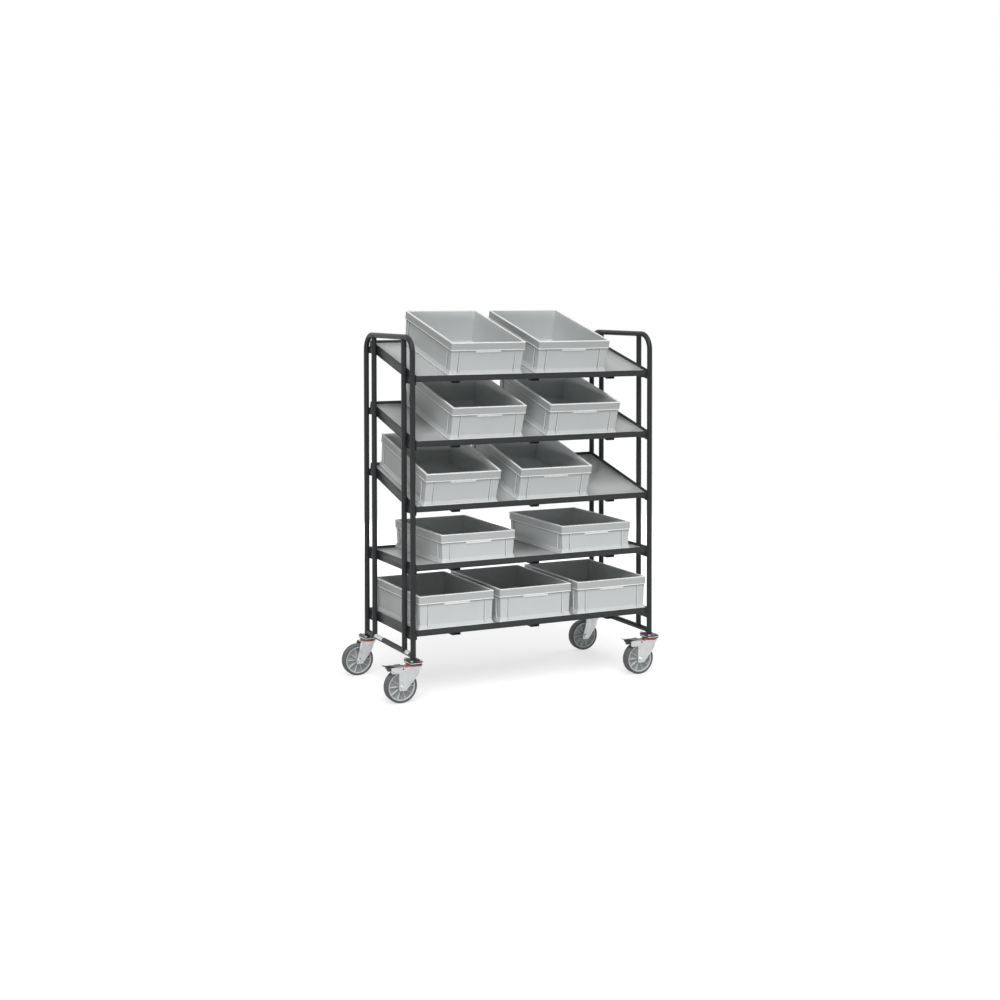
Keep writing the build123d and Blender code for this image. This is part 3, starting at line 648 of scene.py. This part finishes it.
def grow(tree, points, edges, finish, facing=None, **sizes):
    """Run a tree on points and paths and give the result as a plain mesh."""
    mesh = bpy.data.meshes.new(tree.name)
    mesh.from_pydata([tuple(point) for point in points], edges, [])
    if facing:
        layer = mesh.attributes.new("facing", "FLOAT_VECTOR", "POINT")
        layer.data.foreach_set("vector", [part for way in facing for part in way])
    base = bpy.data.objects.new(tree.name, mesh)
    scene.collection.objects.link(base)
    modifier = base.modifiers.new(tree.name, "NODES")
    modifier.node_group = tree
    values = {name.replace("_", " "): value for name, value in sizes.items()} | {"Finish": finish}
    for socket in tree.interface.items_tree:
        if socket.in_out == "INPUT" and socket.name in values:
            modifier[socket.identifier] = values[socket.name]
    base.update_tag()
    result = bpy.data.meshes.new_from_object(base.evaluated_get(bpy.context.evaluated_depsgraph_get()))
    base.modifiers.remove(modifier)
    bpy.data.objects.remove(base)
    return soften(result)


# End frames: bent hoops, inner uprights, foot rails and their welds

hoop_low, hoop_high = extent("left_hoop")
rail_low, rail_high = extent("foot_rails")
tube_r = (hoop_high.x - hoop_low.x) / 2
leg_foot = hoop_low.z
top_bar_z = hoop_high.z - tube_r
half_depth = hoop_high.y - tube_r
half_length = -(hoop_low.x + tube_r)
foot_rail_z = (rail_low.z + rail_high.z) / 2
inner_y = extent("inner_uprights")[1].y - tube_r
ENDS = {"left": -half_length, "right": half_length}


def tubes(name, runs, node):
    """Tubes along runs of points, as one piece of the frame."""
    points, edges = [], []
    for run in runs:
        edges += [(len(points) + i, len(points) + i + 1) for i in range(len(run) - 1)]
        points += run
    tube = grow(TUBE, points, edges, SHADED_TUBE_COAT, Outside_radius=tube_r)
    settle(new_piece(name, tube, SHADED_TUBE_COAT), "frame", "anthracite_powder_coat", node)


for side, x in ENDS.items():
    front, rear = (x, -half_depth), (x, half_depth)
    hoop = [(*front, leg_foot), (*front, top_bar_z), (*rear, top_bar_z), (*rear, leg_foot)]
    tubes(f"{side}_hoop_tube", [hoop], f"{side}_hoop")
uprights = [[(x, y, foot_rail_z), (x, y, top_bar_z)] for x in ENDS.values() for y in (-inner_y, inner_y)]
tubes("inner_upright_tubes", uprights, "inner_uprights")
rails = [[(x, -half_depth, foot_rail_z), (x, half_depth, foot_rail_z)] for x in ENDS.values()]
tubes("foot_rail_tubes", rails, "foot_rails")

# Weld seams: saddles where one tube meets another, and rings where the legs stand on their plates
seams, seam_steps = [], 48
around = [2 * pi * step / seam_steps for step in range(seam_steps)]
for x in ENDS.values():
    for y in (-inner_y, inner_y):
        for z, way in ((top_bar_z, -1), (foot_rail_z, 1)):
            seams.append([(x + tube_r * cos(a), y + tube_r * sin(a), z + way * tube_r * abs(sin(a))) for a in around])
    for way in (-1, 1):
        y = way * half_depth
        seams.append(
            [(x + tube_r * cos(a), y - way * tube_r * abs(sin(a)), foot_rail_z + tube_r * sin(a)) for a in around]
        )
        seams.append([(x + tube_r * cos(a), y + tube_r * sin(a), leg_foot) for a in around])
points, edges = [], []
for seam in seams:
    first = len(points)
    points += seam
    edges += [(first + i, first + (i + 1) % len(seam)) for i in range(len(seam))]
beads = grow(WELD, points, edges, SHADED_TUBE_COAT)
settle(new_piece("frame_welds", beads, SHADED_TUBE_COAT), "frame", "anthracite_powder_coat")

# Shelves: rims, boards and straps, with their edges broken as folded and cut sheet has them
for shelf in SHELVES:
    rim = rounded_copy(f"{shelf}_shelf_frame", 0.7 * MM)
    settle(
        new_piece(f"{shelf}_shelf_rim", rim, POWDER_COAT), "frame", "anthracite_powder_coat", f"{shelf}_shelf_frame"
    )
    slab = rounded_copy(f"{shelf}_shelf_board", 0.8 * MM)
    settle(new_piece(f"{shelf}_shelf_panel", slab, BOARD), "frame", "light_grey_board", f"{shelf}_shelf_board")
straps = rounded_copy("shelf_straps", 0.6 * MM)
settle(new_piece("upright_straps", straps, POWDER_COAT), "frame", "anthracite_powder_coat", "shelf_straps")

# Hex fasteners of the shelves and castor plates, and the larger ones of the axles
HEX_FLATS, AXLE_FLATS = 13 * MM, 18 * MM
HEAD_H, NUT_H = 5.3 * MM, 6.5 * MM
SHANK_R, NUT_SHANK_R = 4 * MM, 3.9 * MM
for node, heads, head_h, shank_r, finish in (
    ("shelf_bolts", "inward", HEAD_H, SHANK_R, BLACK_ZINC),
    ("shelf_nuts", "outward", NUT_H, NUT_SHANK_R, BLACK_ZINC),
    ("castor_plate_bolts", "up", HEAD_H, SHANK_R, ZINC),
    ("castor_plate_nuts", "down", NUT_H, NUT_SHANK_R, BLACK_ZINC),
):
    seats, facing, length = [], [], 0.0
    for low, high in solids(node):
        middle = (low + high) / 2
        if heads in ("inward", "outward"):
            out = 1 if middle.x > 0 else -1
            way = -out if heads == "inward" else out
            far = high.x if way > 0 else low.x
            seats.append((far - way * head_h, middle.y, middle.z))
            facing.append((way, 0, 0))
            length = high.x - low.x - head_h
        else:
            way = 1 if heads == "up" else -1
            far = high.z if way > 0 else low.z
            seats.append((middle.x, middle.y, far - way * head_h))
            facing.append((0, 0, way))
            length = high.z - low.z - head_h
    hexes = grow(
        FASTENER,
        seats,
        [],
        finish,
        facing,
        Flats=HEX_FLATS,
        Height=head_h,
        Shank_radius=shank_r,
        Shank_length=max(length, 0.5 * MM),
    )
    settle(new_piece(f"hex_{node}", hexes, finish), "frame", "zinc_plated_steel", node)

# Castor plates and swivel heads. Each seal shows a thin lip with a groove above it, painted near black as painted
# shade under the plate.
for node, finish, slot in (
    ("castor_mounting_plates", POWDER_COAT, "anthracite_powder_coat"),
    ("castor_top_plates", ZINC, "zinc_plated_steel"),
):
    settle(new_piece(f"rounded_{node}", rounded_copy(node, 0.9 * MM), finish), "frame", slot, node)
rings = []
for low, high in solids("castor_seal_rings"):
    middle = (low + high) / 2
    outer, half = (high.x - low.x) / 2, (high.z - low.z) / 2
    bore, groove = outer - 4.7 * MM, outer - 3.6 * MM
    section = [
        (bore, -half),
        (outer - 1.2 * MM, -half),
        (outer, -0.75 * half),
        (outer, -0.05 * half),
        (outer - 3.2 * MM, 0.1 * half),
        (groove, 0.3 * half),
        (groove, half),
        (bore, half),
    ]
    # Inside this radius, above the lip, the seal is painted near black: painted shade under the plate
    darkened = outer - 2.8 * MM
    lip = rounded(section, 0.4 * MM)
    rings.append(lathe(lip, middle, (0, 0, 1), wear_and_painted_light=lambda r, a: 1.0 if r < darkened and a > 0 else 0.0))
settle(new_piece("castor_dust_seals", soften(joined(*rings)), RED_SEAL), "frame", "red_plastic", "castor_seal_rings")
for node in ("castor_king_pins", "castor_swivel_bearings"):
    settle(new_piece(f"turned_{node}", rounded_copy(node, 0.5 * MM), ZINC), "frame", "zinc_plated_steel", node)

# Castors: forks, axles, wheels, and the brakes of the front pair
for corner in CORNERS:
    fork_body, wheel_body = f"{corner}_castor_fork", f"{corner}_castor_wheel"
    fork = rounded_copy(f"{corner}_fork", 0.8 * MM)
    settle(new_piece(f"{corner}_pressed_fork", fork, ZINC), fork_body, "zinc_plated_steel", f"{corner}_fork")

    low, high = extent(f"{corner}_tyre")
    hub = (low + high) / 2
    wheel_r, half_tyre = (high.z - low.z) / 2, (high.y - low.y) / 2
    low, high = extent(f"{corner}_wheel_core")
    core_r, half_hub = (high.z - low.z) / 2, (high.y - low.y) / 2

    head_h, nut_h, cheek = 7.5 * MM, 10 * MM, 31.5 * MM
    bolt_low, bolt_high = extent(f"{corner}_axle_bolt")
    hexes = []
    for seat, way, height, shank_r, shank in (
        (bolt_low.y + head_h, -1, head_h, 5.9 * MM, bolt_high.y - bolt_low.y - head_h),
        (hub.y + cheek, 1, nut_h, 5 * MM, 1 * MM),
    ):
        hexes.append(
            grow(
                FASTENER,
                [(hub.x, seat, hub.z)],
                [],
                ZINC,
                [(0, way, 0)],
                Flats=AXLE_FLATS,
                Height=height,
                Shank_radius=shank_r,
                Shank_length=shank,
            )
        )
    settle(
        new_piece(f"{corner}_axle", soften(joined(*hexes)), ZINC),
        fork_body,
        "zinc_plated_steel",
        f"{corner}_axle_bolt",
    )

    # tyre: a ring with round shoulders
    tyre_gap, shoulder_r, shoulder_w = 0.1 * MM, 5 * MM, 6 * MM
    half_tread = [(core_r + tyre_gap, half_tyre), (wheel_r - shoulder_r, half_tyre), (wheel_r, half_tyre - shoulder_w)]
    tread = rounded([(r, -a) for r, a in half_tread] + half_tread[::-1], shoulder_r, 6)
    ring = lathe(
        [tuple(p) for p in tread], hub, (0, 1, 0), 96, lambda r, a: 1.0 if r > wheel_r - 2 * MM else 0.2
    )
    settle(new_piece(f"{corner}_rubber_tyre", soften(ring, 50), RUBBER), wheel_body, "grey_tyre", f"{corner}_tyre")

    # wheel body: hub, web and rim in one turned outline, with ribs on both sides of the web. The rim's edges and the
    # ribs' edges are painted paler: a painted highlight.
    half_rim, half_web, rim_t = 20 * MM, 3 * MM, 6 * MM
    bore_r, hub_r, hub_foot_r = 12.1 * MM, 20 * MM, 24 * MM
    half_section = [
        (bore_r, half_hub),
        (hub_r, half_hub),
        (hub_r + 1 * MM, half_web + 2 * MM),
        (hub_foot_r, half_web),
        (core_r - rim_t - 2 * MM, half_web),
        (core_r - rim_t - 0.5 * MM, half_web + 2 * MM),
        (core_r - rim_t, half_rim),
        (core_r, half_rim),
    ]
    section = rounded([(r, -a) for r, a in half_section] + half_section[::-1], 1.2 * MM, 3)
    turned = lathe(
        [tuple(p) for p in section],
        hub,
        (0, 1, 0),
        96,
        lambda r, a: 0.9 if r > core_r - rim_t - 0.6 * MM and abs(a) > half_rim - 1.5 * MM else 0.0,
    )
    ribs = grow(RIBS, [hub], [], WHEEL_PLASTIC, Rim_radius=core_r - 4 * MM)
    core = soften(joined(turned, ribs))
    settle(
        new_piece(f"{corner}_wheel_body", core, WHEEL_PLASTIC), wheel_body, "grey_wheel_plastic", f"{corner}_wheel_core"
    )
    bush = rounded_copy(f"{corner}_wheel_bush", 0.5 * MM)
    settle(
        new_piece(f"{corner}_hub_bush", bush, WHEEL_PLASTIC), wheel_body, "grey_wheel_plastic", f"{corner}_wheel_bush"
    )

for corner in CORNERS[:2]:
    pin_low, pin_high = extent(f"{corner}_brake_pin")
    pin, pin_r = (pin_low + pin_high) / 2, (pin_high.z - pin_low.z) / 2
    half_pin = (pin_high.y - pin_low.y) / 2
    chamfer = 1 * MM
    half_rod = [(0.0, half_pin), (pin_r - chamfer, half_pin), (pin_r, half_pin - chamfer)]
    rod = lathe([(r, -a) for r, a in half_rod] + half_rod[::-1], pin, (0, 1, 0), 24)
    settle(
        new_piece(f"{corner}_pivot_pin", soften(rod), BLACK_ZINC),
        f"{corner}_castor_fork",
        "zinc_plated_steel",
        f"{corner}_brake_pin",
    )

    # pedal: an arm on a round boss, a thick foot pad with grip ridges, and a sheet tab that releases it
    x, y, z = pin
    reach, fall, over, under = 41 * MM, 2 * MM, 13 * MM, 3 * MM
    pad, pad_h, boss_r = 30 * MM, 18 * MM, 6 * MM
    ridge_pitch, ridge_h, ridge_foot, ridge_top = 6 * MM, 1.6 * MM, 1.6 * MM, 1.2 * MM
    back, top = x - reach, z - fall + over
    ridges, ridge_count = [], 4
    for i in range(ridge_count):
        ridge = back - 5 * MM - i * ridge_pitch
        ridges += [
            (ridge + ridge_foot, top - ridge_h),
            (ridge + ridge_top, top),
            (ridge - ridge_top, top),
            (ridge - ridge_foot, top - ridge_h),
        ]
    boss = [(x + boss_r * cos(a), z + boss_r * sin(a)) for a in [radians(d) for d in range(-90, 61, 15)]]
    arm = boss + [
        (x, z + over),
        (x - 20 * MM, z + over),
        (back + 6 * MM, top - ridge_h),
        (back - 3 * MM, top - 2.2 * MM),
        (back - 3 * MM, z - fall + 2 * MM),
        (back + 1 * MM, z - fall - under + 0.5 * MM),
    ]
    outline = (
        [(back + 4 * MM, top - pad_h + 9 * MM), (back + 4 * MM, top - 2.6 * MM), (back - 1 * MM, top - ridge_h)]
        + ridges
        + [
            (back - pad, top - 4 * MM),
            (back - pad, top - pad_h + 6 * MM),
            (back - pad + 6 * MM, top - pad_h),
            (back - 5 * MM, top - pad_h),
            (back, top - pad_h + 5 * MM),
        ]
    )
    low, high = extent(f"{corner}_brake_pedal")
    half_pedal = (high.y - low.y) / 2
    for name, shape, half, finish, slot in (
        ("foot_pad", outline, half_pedal, BLACK_PEDAL, "black_plastic"),
        ("pedal_arm", arm, half_pedal - 1.5 * MM, WORN_ZINC, "zinc_plated_steel"),
    ):
        body = bevelled(prism(shape, y - half, y + half), 0.5 * MM)
        settle(new_piece(f"{corner}_{name}", body, finish), f"{corner}_brake", slot, f"{corner}_brake_pedal")
    foot = Vector((back - pad / 3, top - 4 * MM))
    half_tab = 15 * MM
    sheet = [(0, 0), (-16, 2.6), (-33, 7.2), (-44, 10), (-44, 12), (-32, 9.4), (-16, 4.9), (0, 3)]
    strip = [(foot.x + a * MM, foot.y + b * MM) for a, b in sheet]
    tab = bevelled(prism(strip, y - half_tab, y + half_tab), 0.5 * MM)
    settle(
        new_piece(f"{corner}_release_tab", tab, BLACK_ZINC),
        f"{corner}_brake",
        "zinc_plated_steel",
        f"{corner}_brake_pedal",
    )

# Blank labels on the left foot rail, each a patch of film with round corners wrapped on the tube
patches = []
for low, high in solids("rail_labels"):
    length, middle = high.y - low.y, (low.y + high.y) / 2
    inner, outer = tube_r + 0.1 * MM, tube_r + 0.4 * MM
    start, sweep, round_r = radians(80), radians(105), 5 * MM
    steps, columns = 32, []
    for step in range(steps + 1):
        angle = start + sweep * step / steps
        edge = min(step, steps - step) / steps * sweep * outer
        cut = round_r - sqrt(max(round_r**2 - max(round_r - edge, 0.0) ** 2, 0.0))
        columns.append((angle, length / 2 - cut))
    rings = []
    for angle, half in columns:
        ring = []
        for radius, end in ((inner, -half), (outer, -half), (outer, half), (inner, half)):
            ring.append((-half_length + radius * cos(angle), middle + end, foot_rail_z + radius * sin(angle)))
        rings.append(ring)
    patches.append(loft(rings))
settle(new_piece("blank_rail_labels", soften(joined(*patches)), LABEL_FILM), "frame", "white_film", "rail_labels")

# Stacking boxes, in millimetres: half the wall's width and length above the foot, the ribs' places on the short and
# long walls, half the grip lip at its foot and tip, the rib's full depth, and the two heights
BOX_HALF_W, BOX_HALF_L = 191, 291
RIB_SHORT, RIB_LONG = 150, 250
GRIP_FOOT, GRIP_TIP = 70, 66
RIB_DEPTH = 7
TALL_BOX, LOW_BOX = 170, 145


def box_outline(outset, rib, grip):
    """Plan of a box at one level, in millimetres: tight corners, a rib that stands out beside each corner, and a grip
    lip that stands out in the middle of both short walls. Each point has its share of painted light: painted shade
    above zero, in a line beside each rib, and a painted highlight below zero, on the rib crests and the grip lip."""
    half_w, half_l = BOX_HALF_W + outset, BOX_HALF_L + outset
    radius = 5.5 if outset > 0 else max(5 + outset, 2)
    # Painted shade in a line beside each rib, and a faint painted highlight on its crest
    beside = min(1.3 * rib / RIB_DEPTH, 1.3)
    half_rib = [(5, 0, 0), (2.5, 0, beside), (2, 0.88 * rib, -0.04 * rib), (1.3, rib, -0.1 * rib)]
    whole_rib = half_rib + [(-a, out, dust_and_painted_light) for a, out, dust_and_painted_light in half_rib[::-1]]
    # The grip lip's tip is paler: a painted highlight
    lip = [(GRIP_FOOT, 0, 0), (GRIP_TIP, grip, -1.2 if grip else 0)]
    short = [(RIB_SHORT + a, out, dust_and_painted_light) for a, out, dust_and_painted_light in whole_rib] + lip
    long = [(RIB_LONG + a, out, dust_and_painted_light) for a, out, dust_and_painted_light in whole_rib]
    points = []
    for turn, (half_a, half_b, half_wall) in enumerate(((half_w, half_l, short), (half_l, half_w, long)) * 2):
        # the wall at -b from -a to +a, then the corner, each side turned a quarter further
        wall = half_wall + [(-a, out, dust_and_painted_light) for a, out, dust_and_painted_light in half_wall[::-1]]
        side = [(-a, -half_b - out, dust_and_painted_light) for a, out, dust_and_painted_light in wall]
        for step in range(7):
            angle = radians(-90 + 15 * step)
            side.append((half_a - radius + radius * cos(angle), -half_b + radius + radius * sin(angle), 0))
        for a, b, dust_and_painted_light in side:
            points.append((*((a, b), (-b, a), (-a, -b), (b, -a))[turn], dust_and_painted_light))
    return points


def stacking_box(height):
    """A box drawn through levels from its foot up the outside, over the rim and down to its floor. A level is its
    height, how far it stands out from the wall, the depth of ribs and grip, and its tone: paler above zero, a painted
    highlight broken up by a rub pattern, and darker below zero, painted shade under the rim and a slightly darker band
    face.
    The walls lean out towards the rim by their mould's draft."""
    band, floor = height - 41, 3.5
    # The last value of each level is its tone: the paler foot, band lips and rim edges are a painted highlight broken
    # up by a rub pattern, the wall just under the rim is painted shade, and the band face is a little darker
    levels = [
        (0, 0.0, 0, 0, 0.0),
        (0, 4.0, 0, 0, 0.1),
        (0, 6.6, 0, 0, 0.3),
        (0.5, 7.6, 0, 0, 0.5),
        (1.2, 8.0, 0, 0, 0.5),
        (8.4, 8.0, 0, 0, 0.8),
        (9.8, 7.7, 0, 0, 1.0),
        (11.0, 7.1, 0, 0, 0.5),
        (12.6, 6.4, 0.4, 0, 0.0),
        (26.4, 0.8, 6.2, 0, 0.0),
        (28.2, 0.2, 6.8, 0, 0.0),
        (30.0, 0.0, RIB_DEPTH, 0, 0.0),
        (band - 14, 3.6, 4.6, 0, 0.0),
        (band - 10, 3.7, 4.5, 0, -0.1),
        (band - 9.4, 3.7, 4.5, 3.6, -0.1),
        (band - 8.0, 3.8, 4.4, 4.4, -0.15),
        (band - 4.0, 3.9, 4.3, 4.6, -0.3),
        (band - 1.0, 4.0, 4.2, 4.6, -0.9),
        (band - 0.2, 4.1, 4.1, 4.4, -1.0),
        (band, 7.4, 0, 0, -0.3),
        (band + 0.6, 8.6, 0, 0, 0.8),
        (band + 1.6, 9.0, 0, 0, 1.0),
        (band + 3.4, 9.0, 0, 0, 1.0),
        (band + 4.4, 8.6, 0, 0, 0.8),
        (band + 5.2, 7.8, 0, 0, -0.25),
        (height - 5.0, 7.8, 0, 0, -0.25),
        (height - 4.2, 8.5, 0, 0, 0.6),
        (height - 3.2, 9.0, 0, 0, 1.0),
        (height - 1.4, 8.9, 0, 0, 1.0),
        (height - 0.4, 8.0, 0, 0, 1.0),
        (height, 6.8, 0, 0, 1.0),
        (height, -1.0, 0, 0, 0.8),
        (height - 0.4, -2.0, 0, 0, 0.7),
        (height - 1.4, -2.7, 0, 0, 0.4),
        (height - 3, -3.0, 0, 0, 0.1),
        (floor + 10, -3.1, 0, 0, 0.0),
        (floor + 4, -4.0, 0, 0, 0.0),
        (floor + 1.2, -6.2, 0, 0, 0.0),
        (floor, -10, 0, 0, 0.0),
        (floor, -14, 0, 0, 0.0),
        (floor, -30, 0, 0, 0.0),
    ]
    rings, wear_and_painted_light = [], []
    for z, outset, rib, grip, worn in levels:
        outline = box_outline(outset, rib, grip)
        rings.append([(x * MM, y * MM, z * MM) for x, y, dust_and_painted_light in outline])
        wear_and_painted_light.append([worn - dust_and_painted_light for x, y, dust_and_painted_light in outline])
    return soften(loft(rings, wear_and_painted_light), 38)


TILTS = {"bottom": 0, "lower": 0, "middle": 14.5, "upper": 14.5, "top": 14.5}
box_shapes = {height: stacking_box(height) for height in (TALL_BOX, LOW_BOX)}
for shelf in SHELVES:
    tilt = radians(TILTS[shelf])
    height = LOW_BOX if shelf == "lower" else TALL_BOX
    for spot in ("left", "middle", "right"):
        node = f"{shelf}_shelf_{spot}_box"
        if node not in nodes:
            continue
        low, high = extent(node)
        middle = (low + high) / 2
        up = Vector((0, -sin(tilt), cos(tilt)))
        shape = box_shapes[height].copy()
        shape.transform(Matrix.Translation(middle - up * height / 2 * MM) @ Matrix.Rotation(tilt, 4, "X"))
        settle(new_piece(f"{shelf}_shelf_{spot}_stacking_box", shape, BOX_PLASTIC), node, "grey_box_plastic", node)

# Stage: a white floor that keeps the shadow, even light, and the camera


def seen_directly(tree):
    """Whether a ray comes from the camera, straight or by way of a mirror or glass."""
    path = put(tree, "ShaderNodeLightPath")
    seen = put(
        tree, "ShaderNodeMath", {0: path.outputs["Is Camera Ray"], 1: path.outputs["Is Glossy Ray"]}, operation="ADD"
    )
    through = put(
        tree, "ShaderNodeMath", {0: seen.outputs[0], 1: path.outputs["Is Transmission Ray"]}, operation="ADD"
    )
    return through.outputs[0]


def white_floor():
    """Plain pale floor. Seen directly it is lifted to white, so that only the shadow on it shows, and faintly."""
    finish, tree, shader, _ = start_finish("white studio floor", Roughness=0.9)
    seen = seen_directly(tree)
    tone = put(tree, "ShaderNodeMix", {0: seen, 6: linear("#8C8C8C"), 7: linear("#B4B4B4")}, data_type="RGBA")
    lift = put(tree, "ShaderNodeMath", {0: seen, 1: 0.63}, operation="MULTIPLY")
    tree.links.new(tone.outputs[2], shader.inputs["Base Color"])
    tree.links.new(lift.outputs[0], shader.inputs["Emission Strength"])
    shader.inputs["Emission Color"].default_value = (1, 1, 1, 1)
    return finish


def build_floor(shape, radius=14, steps=64):
    """A flat disc, its radius in metres."""
    turns = [2 * pi * i / steps for i in range(steps)]
    shape.faces.new([shape.verts.new((radius * cos(a), radius * sin(a), 0)) for a in turns])


floor = new_piece("studio_floor", shape_of(build_floor), white_floor())

world = bpy.data.worlds.new("studio")
scene.world = world
world.use_nodes = True
tree = world.node_tree
tree.nodes.clear()
light = put(tree, "ShaderNodeBackground", {"Color": (1, 1, 1, 1), "Strength": 0.07})
white = put(tree, "ShaderNodeBackground", {"Color": (1, 1, 1, 1), "Strength": 1.0})
mixed = put(tree, "ShaderNodeMixShader", {0: seen_directly(tree), 1: light.outputs[0], 2: white.outputs[0]})
put(tree, "ShaderNodeOutputWorld", {"Surface": mixed.outputs[0]})

# A soft key high on the left and a wide light overhead. Panels fill the fronts and the castors from low down, and
# the rear and the right end, which the key leaves in shade. The panels don't show, nor do their reflections.
for name, energy, angle, way in (
    ("soft key light", 2.05, 36, (-0.4, -1.0, 1.2)),
    ("overhead light", 0.6, 60, (-0.1, -0.1, 1.0)),
):
    sun = bpy.data.lights.new(name, "SUN")
    sun.energy = energy
    sun.angle = radians(angle)
    lamp = bpy.data.objects.new(name, sun)
    lamp.rotation_euler = Vector(way).to_track_quat("Z", "Y").to_euler()
    scene.collection.objects.link(lamp)
for name, energy, width, depth, place in (
    ("low front panel", 195, 5.0, 0.5, (-3.4, -6.8, 0.3)),
    ("rear panel", 190, 4.0, 1.6, (1.6, 5.4, 1.2)),
    ("right panel", 150, 3.0, 1.6, (5.6, 0.8, 1.2)),
):
    panel = bpy.data.lights.new(name, "AREA")
    panel.shape = "RECTANGLE"
    panel.size, panel.size_y = width, depth
    panel.energy = energy
    lamp = bpy.data.objects.new(name, panel)
    lamp.location = place
    lamp.rotation_euler = Vector((place[0], place[1], 0)).to_track_quat("Z", "Y").to_euler()
    lamp.visible_camera = False
    lamp.visible_glossy = False
    scene.collection.objects.link(lamp)

# Camera as solved from the photo: its lens, framing, turn and place
camera_data = bpy.data.cameras.new("photo camera")
camera_data.sensor_fit = "HORIZONTAL"
camera_data.sensor_width = 36
camera_data.lens = 56.747
camera_data.shift_y = -0.16
camera_data.clip_end = 100
camera = bpy.data.objects.new("photo camera", camera_data)
scene.collection.objects.link(camera)
yaw, pitch, roll = radians(-25.921), radians(-1.694), radians(-0.058)
ahead = Vector((-sin(yaw) * cos(pitch), cos(yaw) * cos(pitch), sin(pitch)))
right = Vector((cos(yaw), sin(yaw), 0))
upward = right.cross(ahead)
right, upward = right * cos(roll) + upward * sin(roll), upward * cos(roll) - right * sin(roll)
turn = Matrix((right, upward, -ahead)).transposed().to_4x4()
camera_place = (-3.561957, -7.232012, 1.952004)
camera.matrix_world = Matrix.Translation(camera_place) @ turn
scene.camera = camera

scene.view_settings.view_transform = "Standard"
